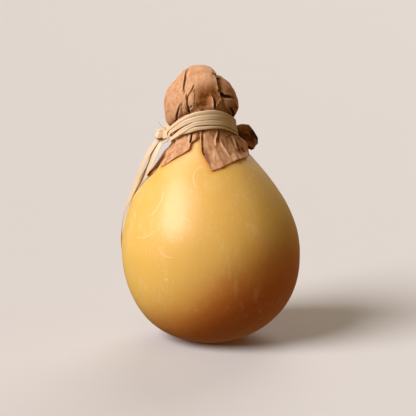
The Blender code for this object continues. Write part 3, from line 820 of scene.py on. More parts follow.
def fold_shift(toward, line, rise, drop, reach):
    """Shift of the cap's surface beside a broad fold."""
    marks = direction(*np.radians(np.array(line, float)).T)
    nearest = np.full(toward.shape[:-1], np.inf)
    left = np.zeros(toward.shape[:-1], bool)
    for start, end in zip(marks[:-1], marks[1:]):
        run, offset = end - start, toward - start
        share = np.clip((offset @ run) / (run @ run), 0.0, 1.0)
        away = np.linalg.norm(offset - share[..., None] * run, axis=-1) * CAP_RADIUS
        closer = away < nearest
        nearest = np.where(closer, away, nearest)
        left = np.where(closer, np.sum(np.cross(run, offset) * toward, axis=-1) < 0, left)
    return hill(nearest, reach * MM) * np.where(left, rise, -drop) * MM


def cap_reach(azimuth, elevation):
    """How far the cap reaches from its middle: an ellipsoid pressed into flats, with folds and a hollow."""
    across, up = np.cos(elevation), np.sin(elevation)
    total = np.sqrt((across / CAP_RADIUS) ** 2 + (up / CAP_RISE) ** 2) ** CAP_ROUNDNESS
    for flat_azimuth, flat_elevation, distance in CAP_FLATS:
        a, e = math.radians(flat_azimuth), math.radians(flat_elevation)
        facing = across * math.cos(e) * np.cos(azimuth - a) + up * math.sin(e)
        total = total + np.clip(facing / (distance * MM), 0.0, None) ** CAP_ROUNDNESS
    reach = total ** (-1.0 / CAP_ROUNDNESS)
    toward = direction(azimuth + 0 * elevation, elevation + 0 * azimuth)
    for fold in CAP_FOLDS:
        reach = reach + fold_shift(toward, *fold)
    hollow_azimuth, hollow_elevation, hollow_reach, hollow_depth = CAP_HOLLOW
    middle = direction(math.radians(hollow_azimuth), math.radians(hollow_elevation))
    away = np.linalg.norm(toward - middle, axis=-1) * CAP_RADIUS
    reach = reach - hollow_depth * MM * hill(away, hollow_reach * MM)
    return np.maximum(reach, HEAD_RADIUS + 0.5 * PAPER_CLEARANCE)


def distances(lines):
    """Distance from the start of each of several lines[line, step, axis] at each of its steps."""
    steps = np.linalg.norm(np.diff(lines, axis=1), axis=2)
    return np.concatenate([np.zeros((len(lines), 1)), np.cumsum(steps, axis=1)], axis=1)


def spaced(lines, count):
    """count points spread evenly along each of several lines[line, step, axis]."""
    found = []
    for line, at in zip(lines, distances(lines)):
        wanted = np.linspace(0.0, at[-1], count)
        found.append(np.stack([np.interp(wanted, at, line[:, k]) for k in range(line.shape[1])], axis=1))
    return np.array(found)


def smooth_line(points, count):
    """count points along a smooth curve through the given ones."""
    points = np.asarray(points, float)
    padded = np.vstack([2 * points[0] - points[1], points, 2 * points[-1] - points[-2]])
    t = np.linspace(0.0, 1.0, CURVE_STEPS, endpoint=False)[:, None]
    dense = []
    for a, b, c, d in zip(padded[:-3], padded[1:-2], padded[2:-1], padded[3:]):
        bend = (2 * a - 5 * b + 4 * c - d) * t**2 + (3 * b - a - 3 * c + d) * t**3
        dense.append(0.5 * (2 * b + (c - a) * t + bend))
    return spaced(np.vstack([*dense, points[-1:]])[None], count)[0]


def wander(points, scale, seed):
    """Smooth noise from -1 to 1 at these points in metres, with features of about scale metres."""
    shift = Vector((seed * 3.7, seed * 1.3, seed * 2.1))
    flat = points.reshape(-1, 3) / scale
    return np.array([noise.noise(Vector(p) + shift) for p in flat]).reshape(points.shape[:-1])


# Materials: arithmetic on a wire adds Math nodes, and one method adds any other node
class Wire:
    """An output socket in a material's nodes, or just the nodes where it has no socket yet."""

    def __init__(self, tree, socket=None):
        self.tree = tree
        self.socket = socket

    def node(self, kind, settings=None, inputs=None, output=0):
        """Adds a node of this type, sets it up, then gives its sockets values or wires."""
        made = self.tree.nodes.new(kind)
        for key, value in (settings or {}).items():
            setattr(made, key, value)
        for key, value in (inputs or {}).items():
            if isinstance(value, Wire):
                self.tree.links.new(value.socket, made.inputs[key])
            else:
                made.inputs[key].default_value = value
        return Wire(self.tree, made.outputs[output] if made.outputs else None)

    def math(self, operation, *values):
        """What one Math node makes of these values."""
        return self.node("ShaderNodeMath", {"operation": operation}, dict(enumerate(values)))

    def __add__(self, other):
        return self.math("ADD", self, other)

    __radd__ = __add__

    def __sub__(self, other):
        return self.math("SUBTRACT", self, other)

    def __rsub__(self, other):
        return self.math("SUBTRACT", other, self)

    def __mul__(self, other):
        return self.math("MULTIPLY", self, other)

    __rmul__ = __mul__

    def __abs__(self):
        return self.math("ABSOLUTE", self)

    def step(self, low, high):
        """0 below low, 1 above high, and a soft step between them."""
        settings = {"interpolation_type": "SMOOTHSTEP"}
        return self.node("ShaderNodeMapRange", settings, {"Value": self, "From Min": low, "From Max": high})

    def between(self, begins, ends):
        """1 between two soft steps, each given as where it starts and where it is done."""
        return self.step(*begins) * (1.0 - self.step(*ends))

    def mixed(self, first, second):
        """first where this wire is 0 and second where it is 1, both colours."""
        first, second = (c if isinstance(c, Wire) else (*c[:3], 1.0) for c in (first, second))
        return self.node("ShaderNodeMix", {"data_type": "RGBA"}, {0: self, 6: first, 7: second}, 2)

    def scaled(self, x, y, z):
        """This vector, multiplied axis by axis."""
        return self.node("ShaderNodeVectorMath", {"operation": "MULTIPLY"}, {0: self, 1: (x, y, z)})

    def axis(self, letter):
        """One axis of this vector."""
        return self.node("ShaderNodeSeparateXYZ", {}, {"Vector": self}, letter)

    def attribute(self, name):
        """What the mesh stores under this name."""
        return self.node("ShaderNodeAttribute", {"attribute_name": name}, {}, "Fac")

    def bumped(self, distance, strength):
        """The normal of a surface with this relief."""
        inputs = {"Height": self, "Distance": distance, "Strength": strength}
        return self.node("ShaderNodeBump", {}, inputs, "Normal")

    def distance(self, point):
        """How far this position is from a point."""
        return self.node("ShaderNodeVectorMath", {"operation": "DISTANCE"}, {0: self, 1: point}, "Value")

    def noise(self, scale, detail=2.0, rough=0.5):
        """Noise from 0 to 1 at this position, with about that many features a metre."""
        inputs = {"Vector": self, "Scale": scale, "Detail": detail, "Roughness": rough}
        return self.node("ShaderNodeTexNoise", {}, inputs)

    def specks(self, scale, radius):
        """1 in small round specks, fewer than one in each cell."""
        cells = self.node("ShaderNodeTexVoronoi", {}, {"Vector": self, "Scale": scale, "Randomness": 1.0})
        chance = self.node("ShaderNodeTexVoronoi", {}, {"Vector": self, "Scale": scale}, "Color")
        pick = self.node("ShaderNodeSeparateColor", {}, {"Color": chance}, 0)
        return (1.0 - cells.step(radius * 0.35, radius)) * pick.step(0.45, 0.95)


def new_finish(name):
    """A new material, and the position in it that its patterns follow."""
    material = bpy.data.materials.new(name)
    material.use_nodes = True
    material.node_tree.nodes.clear()
    return material, Wire(material.node_tree).node("ShaderNodeTexCoord", {}, {}, "Object")


def close_finish(at, inputs):
    """Joins a shader with these inputs to the material's output."""
    shader = at.node("ShaderNodeBsdfPrincipled", {}, inputs)
    at.node("ShaderNodeOutputMaterial", {}, {"Surface": shader})


def tinted(colour, *factors):
    """This colour with its channels multiplied, each by its own factor or all by one."""
    return tuple(min(c * f, 1.0) for c, f in zip(colour, factors * (3 // len(factors))))


# Places in the finishes are in metres, and a pair is where a change starts and where it is done
# How far up the cheese's deeper orange base reaches, and how much higher it comes on the right than on the
# left; mostly painted shade of its lower, right side, partly its own deeper colour
BASE_SHADE_FADES, SIDE_TO_SIDE, SHADE_TILT = (0.003, 0.066), (-0.045, 0.045), 0.045
# The paler collar below the paper, and how far right the upright streaks begin
COLLAR_STARTS, STREAKS_START = (0.096, 0.112), (0.002, 0.034)
# Middle of the fine wrinkles on the cheese's lit side, and how they fade away from it
WRINKLED, WRINKLES_FADE = (-0.021, -0.043, 0.064), (0.006, 0.018)
# How far from its line a scuff fades
SCUFF_EDGE = (0.00008, 0.00030)
# Thin curved scuffs on the cheese, each where a ball's surface cuts the cheese's: middle and radius of the
# ball, and how broken the scuff is
SCUFFS = (
    ((-0.022, -0.046, 0.063), 0.0085, 150.0),
    ((-0.018, -0.047, 0.066), 0.0125, 140.0),
    ((-0.001, -0.040, 0.103), 0.0150, 60.0),
    ((-0.046, -0.034, 0.084), 0.0240, 90.0),
    ((-0.060, -0.040, 0.100), 0.0400, 70.0),
    ((0.046, 0.036, 0.050), 0.0200, 120.0),
    ((-0.010, 0.060, 0.070), 0.0240, 70.0),
    ((-0.050, 0.046, 0.045), 0.0300, 80.0),
)


def scuffed(at):
    """1 along the thin scuffs, which are broken here and there."""
    scuffs = 0.0
    for middle, radius, broken in SCUFFS:
        line = 1.0 - abs(at.distance(middle) - radius).step(*SCUFF_EDGE)
        scuffs = line * at.noise(broken, 1.0).step(0.52, 0.60) + scuffs
    return scuffs


def wrinkled(at):
    """1 along the fine wrinkles, which fade away from their middle."""
    ridged = at.scaled(1.2, 1.0, 0.7).noise(190.0, 2.0, 0.5) - 0.5
    return (1.0 - abs(ridged).step(0.0, 0.05)) * (1.0 - at.distance(WRINKLED).step(*WRINKLES_FADE))


def cheese_finish(look):
    """Waxy curd that lets light in: deeper orange at its base, partly its own colour and partly painted
    shade, with a painted glow of light below the paper, streaked, specked and scuffed.
    """
    material, at = new_finish("waxed_curd")
    height, sideways = at.axis("Z"), at.axis("X")
    cloudy = at.noise(38.0, 3.0, 0.55)
    fine = at.noise(170.0, 4.0, 0.6)
    # Painted shade: the deeper orange base comes higher on the right, the side turned from the key light
    aside = (sideways.step(*SIDE_TO_SIDE) - 0.5) * SHADE_TILT
    base = 1.0 - (height - aside).step(*BASE_SHADE_FADES) + (cloudy - 0.5) * 0.40
    colour = base.step(0.0, 1.0).mixed(look.wax, look.amber_shade)
    clear = 1.0 - base.step(0.0, 1.0) * 0.85
    pale = (cloudy * 0.6 + fine * 0.4).step(0.48, 0.72)
    colour = (pale * 0.16 * clear).mixed(colour, look.bloom)
    streaks = at.scaled(1.0, 1.0, 0.09).noise(420.0, 2.0, 0.6).step(0.5, 0.74)
    streaks = streaks * at.noise(30.0, 1.0).step(0.45, 0.62)
    streaks = streaks * (sideways + height * 0.2).step(*STREAKS_START)
    colour = (streaks * 0.20).mixed(colour, look.bloom)
    swirls = at.scaled(1.0, 1.0, 0.3).noise(480.0, 3.0, 0.7).step(0.50, 0.70)
    swirls = swirls * at.noise(55.0, 1.0).step(0.40, 0.60)
    colour = (swirls * 0.18 * clear).mixed(colour, look.bloom)
    collar = height.step(*COLLAR_STARTS)
    colour = (collar * 0.35).mixed(colour, look.bloom)
    # Painted glow of light passing through the paper onto the cheese just below its cut edge
    colour = (at.attribute("oiled") * 0.75).mixed(colour, look.oil)
    specks = at.specks(170.0, 0.10) * 0.6 + at.specks(95.0, 0.085)
    colour = specks.mixed(colour, look.bloom)
    scuffs = scuffed(at)
    colour = (scuffs * 0.5).mixed(colour, look.bloom)
    relief = fine * 0.35 + at.noise(520.0, 3.0, 0.6) * 0.16 + streaks * 0.15 + scuffs * 0.6 + specks * 0.25
    relief = relief + wrinkled(at) * 0.22
    close_finish(
        at,
        {
            "Base Color": colour,
            "Roughness": 0.50 + fine * 0.12 + streaks * 0.08 + specks * 0.1 + scuffs * 0.1,
            "Normal": relief.bumped(0.00025, 0.6),
            "Subsurface Weight": 0.85,
            "Subsurface Radius": (1.0, 0.72, 0.26),
            "Subsurface Scale": 0.007,
            "IOR": 1.45,
            "Specular IOR Level": 0.55,
            "Coat Weight": 0.4,
            "Coat Roughness": 0.3,
        },
    )
    return material


# Height between which the mottling of the skirt gives way to the cap's, which is weaker
MOTTLING_FADES = (0.112, 0.124)


def paper_finish(look):
    """Brown kraft paper: mottled, with fine fibres, paler on worn creases, with painted shade in its folds,
    slits and shaded places and some greasy stains.
    """
    material, at = new_finish("crumpled_kraft")
    crest, soaked = at.attribute("crest"), at.attribute("soaked")
    pulp = at.noise(210.0, 4.0, 0.6)
    blotches = at.noise(480.0, 2.0, 0.5)
    fibres = at.scaled(1.0, 1.0, 0.3).noise(1900.0, 3.0, 0.65)
    shade = pulp * 0.45 + blotches * 0.40 + fibres * 0.15
    colour = shade.step(0.36, 0.62).mixed(tinted(look.kraft, 0.82, 0.70, 0.58), tinted(look.kraft, 1.10))
    mottled = at.noise(300.0, 3.0, 0.65).step(0.48, 0.62)
    mottled = mottled * (0.75 - at.axis("Z").step(*MOTTLING_FADES) * 0.5)
    colour = (mottled * 0.75).mixed(colour, tinted(look.kraft, 0.66, 0.54, 0.42))
    worn = crest.step(0.56, 0.86) * (0.45 + fibres * 0.5)
    colour = worn.mixed(colour, look.worn)
    # Painted shade in the sheet's low creases and hollows
    crease_shade = (1.0 - crest.step(0.16, 0.44)) * 0.4
    colour = crease_shade.mixed(colour, tinted(look.soaked, 0.4))
    # Greasy stains and painted shade, the strongest painted shade in slits, under folds and on the fin
    stain_and_shade = (soaked + (blotches - 0.5) * soaked * 0.8) * (1.0 - crest.step(0.75, 1.0) * 0.5)
    colour = stain_and_shade.step(0.0, 0.75).mixed(colour, look.soaked)
    colour = stain_and_shade.step(0.55, 1.10).mixed(colour, tinted(look.soaked, 0.16))
    freckles = at.specks(420.0, 0.16) * 0.35
    colour = freckles.mixed(colour, tinted(look.kraft, 0.4))
    close_finish(
        at,
        {
            "Base Color": colour,
            "Roughness": 0.72 + fibres * 0.16,
            "Normal": (pulp * 0.6 + fibres * 0.2 + blotches * 0.5).bumped(0.0003, 0.6),
            "Subsurface Weight": 0.12,
            "Subsurface Radius": (1.0, 0.5, 0.25),
            "Subsurface Scale": 0.0015,
            "Specular IOR Level": 0.3,
        },
    )
    return material


# Where the two darker tails lie in the pattern across the strands, and the painted shadow along the edge of
# one of them, cast by the other
TAILS_BEGIN, TAILS_END = (25.8, 26.0), (42.0, 42.2)
SHADOW_BEGINS, SHADOW_ENDS = (37.2, 38.2), (40.0, 40.2)


def raffia_finish(look):
    """Dried palm strip: pale straw with long fibres and a soft sheen, with darker tails and a painted
    shadow along one tail's edge.
    """
    material, at = new_finish("raffia_fibre")
    across = at.attribute("across")
    slow = at.noise(90.0, 2.0)
    lines = at.node("ShaderNodeCombineXYZ", {}, {0: across, 1: slow * 0.35, 2: 0.0})
    fibres = lines.noise(2.2, 3.0, 0.6)
    broad = lines.noise(0.9, 2.0, 0.5)
    colour = (fibres * 0.6 + broad * 0.55).step(0.36, 0.80).mixed(look.husk, look.straw)
    bleached = broad.step(0.55, 0.75) * slow.step(0.5, 0.7) * 0.35
    colour = bleached.mixed(colour, tinted(look.straw, 1.25))
    stains = at.specks(230.0, 0.12) * 0.45
    colour = stains.mixed(colour, look.husk)
    tails = across.between(TAILS_BEGIN, TAILS_END)
    colour = (tails * 0.4).mixed(colour, tinted(look.straw, 0.72))
    # Painted shadow of the outer tail along the inner tail's edge
    tail_shadow = across.between(SHADOW_BEGINS, SHADOW_ENDS)
    colour = (tail_shadow * 0.9).mixed(colour, look.edge)
    close_finish(
        at,
        {
            "Base Color": colour,
            "Roughness": 0.31 + fibres * 0.2,
            "Normal": fibres.bumped(0.00012, 0.4),
            "Subsurface Weight": 0.15,
            "Subsurface Radius": (1.0, 0.6, 0.3),
            "Subsurface Scale": 0.001,
            "Specular IOR Level": 0.75,
        },
    )
    return material


def floor_finish(look):
    """A plain pale matt floor with the faintest unevenness."""
    material, at = new_finish("plain_floor")
    colour = (at.noise(3.0, 2.0) * 0.25).mixed(look.floor, tinted(look.floor, 0.93))
    close_finish(at, {"Base Color": colour, "Roughness": 0.85, "Specular IOR Level": 0.25})
    return material


# Meshes
def new_mesh(name, points, faces, values, weld=0.0):
    """A mesh of these points and faces with values at its points; those closer than weld become one."""
    mesh = bpy.data.meshes.new(name)
    mesh.from_pydata(points.reshape(-1, 3).tolist(), [], faces)
    for key, data in values.items():
        layer = mesh.attributes.new(key, "FLOAT", "POINT")
        layer.data.foreach_set("value", np.ascontiguousarray(data.reshape(-1), dtype=np.float32))
    work = bmesh.new()
    work.from_mesh(mesh)
    bmesh.ops.delete(work, geom=[v for v in work.verts if not v.link_faces], context="VERTS")
    if weld:
        bmesh.ops.remove_doubles(work, verts=work.verts, dist=weld)
    bmesh.ops.recalc_face_normals(work, faces=work.faces)
    work.to_mesh(mesh)
    work.free()
    return mesh


def grid_mesh(name, points, values, weld=0.0):
    """A mesh over points[column, row], joined round its columns, whose first row is one point."""
    columns, rows = points.shape[:2]
    index = np.arange(columns * rows).reshape(columns, rows)
    after = np.roll(index, -1, axis=0)
    sides = np.stack([index[:, 1:-1], index[:, 2:], after[:, 2:], after[:, 1:-1]], axis=-1)
    top = np.stack([0 * index[:, 0] + index[0, 0], index[:, 1], after[:, 1]], axis=-1)
    return new_mesh(name, points, sides.reshape(-1, 4).tolist() + top.tolist(), values, weld)


def ring_mesh(name, points, closed, values):
    """A tube through points[ring, corner], closed on itself or with flat ends."""
    rings, corners = points.shape[:2]
    index = np.arange(rings * corners).reshape(rings, corners)
    here, after = (index, np.roll(index, -1, axis=0)) if closed else (index[:-1], index[1:])
    sides = np.stack([here, np.roll(here, -1, axis=1), np.roll(after, -1, axis=1), after], axis=-1)
    ends = [] if closed else [index[0][::-1].tolist(), index[-1].tolist()]
    return new_mesh(name, points, sides.reshape(-1, 4).tolist() + ends, values)


def add_piece(name, mesh, material):
    """Puts a mesh in the scene with its material, riding on the one body."""
    mesh.shade_smooth()
    mesh.materials.append(material)
    piece = bpy.data.objects.new(name, mesh)
    bpy.context.scene.collection.objects.link(piece)
    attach(piece, "root")
    return piece


def grid_normals(points):
    """Outward unit normals of points[column, row] round a closed surface."""
    round_way = np.roll(points, -1, axis=0) - np.roll(points, 1, axis=0)
    down_way = np.gradient(points, axis=1)
    normal = np.cross(down_way, round_way)
    length = np.linalg.norm(normal, axis=-1)[..., None]
    return normal / np.maximum(length, 1e-12)


def blurred(values, times):
    """values[column, row], averaged with their neighbours a few times."""
    for _ in range(times):
        values = (np.roll(values, 1, axis=0) + 2 * values + np.roll(values, -1, axis=0)) / 4
        padded = np.pad(values, ((0, 0), (1, 1)), mode="edge")
        values = (padded[:, :-2] + 2 * values + padded[:, 2:]) / 4
    return values


def hem_at(azimuth):
    """Height and standoff of the paper's cut edge at these azimuths."""
    table = np.array(HEM)
    return (np.interp(np.degrees(azimuth), table[:, 0], table[:, k], period=360) * MM for k in (1, 2))


def glow_below_paper(azimuth, points):
    """Painted glow of light through the greasy paper on the cheese: full under the sheet, and less away
    from its cut edge.
    """
    turn = np.linspace(-math.pi, math.pi, EDGE_SPOTS, endpoint=False)
    edge, _ = hem_at(turn)
    tree = KDTree(len(turn))
    for number, spot in enumerate(place(turn, rind_radius(turn, edge), edge)):
        tree.insert(spot, number)
    tree.balance()
    away = np.array([tree.find(spot)[2] for spot in points.reshape(-1, 3)]).reshape(points.shape[:2])
    cut, _ = hem_at(azimuth)
    return np.where(points[..., 2] > cut[:, None], 1.0, hill(away, GLOW_REACH))


def cheese_profile(rows):
    """(radius, height) evenly spaced from the top of the cheese's head down to the middle of its foot."""
    low = math.acos(-BELLY_HEIGHT / LOWER_DEPTH)
    lower = BELLY_HEIGHT + LOWER_DEPTH * np.cos(np.linspace(low, 0.5 * math.pi, LOWER_POINTS))
    upper = np.linspace(BELLY_HEIGHT, HEAD_HEIGHT, UPPER_POINTS)[1:]
    head = HEAD_HEIGHT + HEAD_RADIUS * np.sin(np.linspace(0.0, 0.5 * math.pi, HEAD_POINTS))[1:]
    heights = np.concatenate([lower, upper, head])
    line = np.stack([pear_radius(heights), heights], axis=1)
    line[-1, 0] = 0.0
    line = np.vstack([[(0.0, 0.0), (0.5 * line[0, 0], 0.0)], line])[::-1]
    return spaced(line[None], rows + 1)[0]


def make_cheese_grid(look):
    """Points[column, row] of the cheese, slightly uneven as a moulded one is, and how much painted glow
    from the paper each has.
    """
    share = np.linspace(0.0, 1.0, look.rows + 1)
    profile = cheese_profile(look.rows)
    azimuth = np.linspace(-math.pi, math.pi, look.columns, endpoint=False)
    level = profile[None, :, 1] + 0 * azimuth[:, None]
    hollow = pear_radius(level) - rind_radius(azimuth[:, None], level)
    points = place(azimuth[:, None], profile[None, :, 0] - hollow, level)
    normals = grid_normals(points)
    lumps = 0.0
    for size, height, seed in CHEESE_LUMPS:
        lumps = lumps + wander(points, size * MM, seed) * height
    fade = ease(points[..., 2] / (9 * MM)) * ease(share * 12)[None, ::-1] * ease(share * 8)[None]
    points = points + normals * (lumps * fade)[..., None] * look.unevenness
    points[:, 0] = points[:, 0].mean(axis=0)
    points[:, -1] = (0.0, 0.0, 0.0)
    return points, {"oiled": glow_below_paper(azimuth, points)}


def flat_facets(spots, heights, where):
    """Heights over a net of triangles between scattered spots in a plane, read at the points in where."""
    found = geometry.delaunay_2d_cdt([Vector(p) for p in spots.tolist()], [], [], 0, 1e-7)
    corners = [(v.x, v.y, float(heights[origin[0]])) for v, origin in zip(found[0], found[3])]
    net = BVHTree.FromPolygons(corners, [tuple(f) for f in found[2]])
    down, top = Vector((0, 0, -1)), 10.0
    read = np.zeros(len(where))
    for i, (x, y) in enumerate(where.tolist()):
        hit = net.ray_cast(Vector((x, y, top)), down)
        read[i] = hit[0].z if hit[0] is not None else 0.0
    return read


def crumpled(sheet, spacing, seed):
    """Faceted heights from -1 to 1 over the flat sheet, with facets about spacing metres across."""
    rng = np.random.default_rng(seed)
    half = np.abs(sheet).max() + 2 * spacing
    count = int(math.ceil(2 * half / spacing)) + 1
    lattice = (np.arange(count) - 0.5 * count) * spacing
    across, up = np.meshgrid(lattice, lattice)
    across = across + (np.arange(count) % 2)[:, None] * 0.5 * spacing
    spots = np.stack([across.ravel(), up.ravel()], axis=1)
    spots = spots + rng.uniform(-0.38, 0.38, spots.shape) * spacing
    heights = rng.uniform(-1.0, 1.0, len(spots))
    return flat_facets(spots, heights, sheet.reshape(-1, 2)).reshape(sheet.shape[:-1])


# A distance through the sheet counts this much of one along it, where the reach of a crease is measured
THROUGH_SHEET = 0.3
# How much painted shade slits, valleys and steps get for their size
SLIT_SHADE, VALLEY_SHADE, STEP_SHADE = 0.9, 0.25, 0.5


def crease_shift(points, normals, kind, size, second, reach, line):
    """Shift of the sheet beside a crease and the shade painted in it; its line has strengths as fourth
    numbers.
    """
    near = np.full(len(points), np.inf)
    strength = np.zeros(len(points))
    side = np.ones(len(points))
    for start, end in zip(line[:-1], line[1:]):
        run, offset = end[:3] - start[:3], points - start[:3]
        share = np.clip((offset @ run) / (run @ run), 0.0, 1.0)
        aside = offset - share[:, None] * run
        over = np.sum(aside * normals, axis=1)[:, None] * normals
        away = np.linalg.norm(aside - (1.0 - THROUGH_SHEET) * over, axis=1)
        turn = np.sum(np.cross(run, offset) * normals, axis=1)
        closer = away < near
        near = np.where(closer, away, near)
        strength = np.where(closer, start[3] + share * (end[3] - start[3]), strength)
        side = np.where(closer, np.sign(turn), side)
    reach = reach * MM
    tent = np.clip(1.0 - near / reach, 0.0, 1.0)
    if kind == "slit":
        groove = np.clip(1.0 - near / (reach * (0.4 + 0.6 * strength) + 1e-9), 0.0, 1.0)
        lip = hill(near - 1.5 * reach, 0.8 * reach)
        # What each kind returns with its shift is painted shade: in a slit, along a valley, and on the
        # fallen side of a step
        painted_shade = SLIT_SHADE * strength * size * np.clip(1.3 - near / reach, 0.0, 1.0)
        return strength * MM * (second * lip - size * groove**0.7), painted_shade
    if kind == "ridge":
        return strength * size * MM * tent**1.4, 0.0
    if kind == "valley":
        return -strength * size * MM * tent**1.4, VALLEY_SHADE * strength * size * tent**2
    fallen = side >= 0
    moved = strength * MM * tent**1.5 * np.where(fallen, -second, size)
    return moved, STEP_SHADE * strength * second * tent**3 * fallen


def marks_on(sheet, line):
    """Points and strengths along a line of (azimuth, level, strength) on a part of the sheet.

    The part's columns have azimuths, then radii, heights and levels row by row, with levels that fall.
    """
    azimuth, radius, height, level = sheet
    marks = []
    for degrees, at, strength in line:
        column = int(np.argmin(np.abs(turn_from(azimuth, degrees))))
        rising = level[column, ::-1]
        out, z = (np.interp(at, rising, values[column, ::-1]) for values in (radius, height))
        marks.append([*place(math.radians(degrees), out, z), strength])
    return np.array(marks)


def cap_profile(azimuth):
    """(radius, height) lines from the cap's top down to where the tie presses it."""
    curl_foot = tie_height(azimuth) + TIE_TOP
    start = np.arcsin(np.clip((curl_foot + CAP_CURL - CAP_HEIGHT) / CAP_RISE, -0.4, 1.0))
    elevation = 0.5 * math.pi + (start[:, None] - 0.5 * math.pi) * np.linspace(0.0, 1.0, CAP_POINTS)
    reach = cap_reach(azimuth[:, None], elevation)
    radius, height = reach * np.cos(elevation), CAP_HEIGHT + reach * np.sin(elevation)
    bend = 0.5 * math.pi * np.linspace(0.0, 1.0, CURL_POINTS)[1:]
    foot = curl_foot[:, None]
    curl_radius = WAIST_RADIUS + (radius[:, -1:] - WAIST_RADIUS) * np.cos(bend)
    curl_height = foot + (height[:, -1:] - foot) * (1.0 - np.sin(bend))
    radius = np.concatenate([radius, curl_radius], axis=1)
    height = np.concatenate([height, curl_height], axis=1)
    return np.stack([radius, height], axis=2)


def skirt_profile(azimuth, rows):
    """(radius, height) lines from below the tie out to the cut edge, with the fin at the right."""
    degrees = np.degrees(azimuth)
    hem_height, standoff = hem_at(azimuth)
    top = tie_height(azimuth) - TIE_FOOT
    hem_radius = rind_radius(azimuth, hem_height) + standoff
    hollow = pear_radius(top) - rind_radius(azimuth, top)
    top_radius = np.maximum(band_foot_radius(azimuth) - hollow, WAIST_RADIUS)
    drop = np.maximum(top - hem_height, 0.6 * MM)
    out_first = hill(degrees - OUT_FIRST_AZIMUTH, OUT_FIRST_SPREAD)
    knee_radius = top_radius + (KNEE_OUT + FIN_OUT * out_first) * (hem_radius - top_radius)
    knee_height = top - (KNEE_DOWN - FIN_RAISE * out_first) * drop
    share = np.linspace(0.0, 1.0, SKIRT_POINTS)[None, :]
    start, middle, end = (1 - share) ** 2, 2 * share * (1 - share), share**2
    radius = start * top_radius[:, None] + middle * knee_radius[:, None] + end * hem_radius[:, None]
    height = start * top[:, None] + middle * knee_height[:, None] + end * (top - drop)[:, None]
    clearance = np.minimum(PAPER_CLEARANCE, standoff)[:, None]
    least = rind_radius(azimuth[:, None], height) + clearance
    lines = spaced(np.stack([np.maximum(radius, least), height], axis=2), rows)
    fin = spaced(np.array(FIN_LINE)[None] * MM, rows)[0]
    part = np.clip(1.0 - np.abs(degrees - FIN_AZIMUTH) / FIN_SPREAD, 0.0, 1.0)[:, None, None]
    return lines * (1 - part) + fin[None] * part


def pleat_wave(phase):
    """From -1 in a pleat's valley to 1 on its ridge."""
    return 1.0 - 2.0 * np.abs(np.sin(0.5 * phase)) ** 0.9


def sheet_profile(azimuth, look):
    """Radii, heights and distances along the sheet from its top to its cut edge, all [column, row]."""
    cap = spaced(cap_profile(azimuth), look.cap_rows + 1)
    skirt = skirt_profile(azimuth, look.skirt_rows + 1)
    share = np.linspace(0.0, 1.0, look.waist_rows + 1)[1:-1][None, :, None]
    waist = cap[:, -1:] * (1 - share) + skirt[:, :1] * share
    profile = np.concatenate([cap, waist, skirt], axis=1)
    return profile[..., 0], profile[..., 1], distances(profile)


def pleats(base, turned, above, below, knot):
    """How far the broad and the thin pleats stand out in mm; both are nearly flat at the shown side."""
    phase = PLEATS * turned + 1.4 * np.sin(2 * turned + 0.6) + 1.1 * np.sin(3 * turned - 1.0)
    broad = pleat_wave(phase + 0.5 * wander(base, 9 * MM, 4))
    broad = broad * (1.0 - 0.88 * hill(turned - 0.17, PLAIN_FRONT, 6))
    gather = np.exp(-above / PLEAT_UP)
    spread = ease(below / PLEAT_DOWN) * (1 - knot)
    depth = PLEAT_HEIGHT * gather + PLEAT_HEIGHT * spread - KNOT_PRESS * knot * gather
    phase = THIN_PLEATS * turned + 2.4 * np.sin(3 * turned) + 2.0 * np.sin(5 * turned + 1.0)
    thin = pleat_wave(phase + 1.3 * wander(base, 6 * MM, 5))
    thin_depth = (THIN_HEIGHT + THIN_WANDER * wander(base, 7 * MM, 6)) * np.exp(-above / THIN_UP)
    thin_depth = thin_depth * np.exp(-below / THIN_DOWN)
    thin_depth = thin_depth * (1.0 - 0.85 * hill(turned - 0.1, PLAIN_FRONT, 6))
    return broad * depth, thin * thin_depth


def sheet_facets(turned, along, above, free, look):
    """Heights of the crumpled facets, lower under the tie and on the calm side of the cap."""
    flat = along[..., None] * np.stack([np.sin(turned), -np.cos(turned)], axis=-1)
    broad = crumpled(flat, BROAD_FACETS, look.seed) * look.crumple
    small = crumpled(flat, SMALL_FACETS, look.seed + 1) * look.wrinkle
    calm = CALMNESS * hill(turned - math.radians(CALM_AZIMUTH), math.radians(CALM_SPREAD), 4) * (above > 0)
    held = FACETS_HELD + (1.0 - FACETS_HELD) * np.clip(free, 0.0, 1.0)
    return blurred(broad + small, 1) * held * (1.0 - calm)


def profile_normals(turned, radius, height):
    """Outward unit normals of a sheet from its radii and heights[column, row]."""
    out_way, up_way = -np.gradient(height, axis=1), np.gradient(radius, axis=1)
    length = np.maximum(np.hypot(out_way, up_way), 1e-9)
    dx, dy = outward(turned)
    return np.stack([out_way / length * dx, out_way / length * dy, up_way / length], axis=-1)


def off_cheese(points, turned):
    """The sheet's points, pushed straight out where they would lie in the cheese or too close over it."""
    x0, y0 = middle_line(points[..., 2])
    beside = hill(turned - math.radians(CLOSE_AZIMUTH), math.radians(CLOSE_SPREAD), 4)
    lift = (SHEET_LIFT - CLOSER_BY * beside) * MM
    below_head = points[..., 2] < HEAD_HEIGHT
    from_head = points - np.stack([x0, y0, HEAD_HEIGHT + 0 * x0], axis=-1)
    reach = np.linalg.norm(from_head, axis=-1)
    outer = np.where(below_head, np.hypot(points[..., 0] - x0, points[..., 1] - y0), reach)
    rind = rind_radius(turned, np.clip(points[..., 2], 0.0, HEAD_HEIGHT))
    needed = np.where(below_head, rind + lift, HEAD_RADIUS + HEAD_LIFT)
    from_head = from_head / np.maximum(reach, 1e-6)[..., None]
    clear = pear_normal(points.reshape(-1, 3)).reshape(points.shape)
    clear = np.where(below_head[..., None], clear, from_head)
    return points + clear * np.clip(needed - outer, 0.0, None)[..., None]


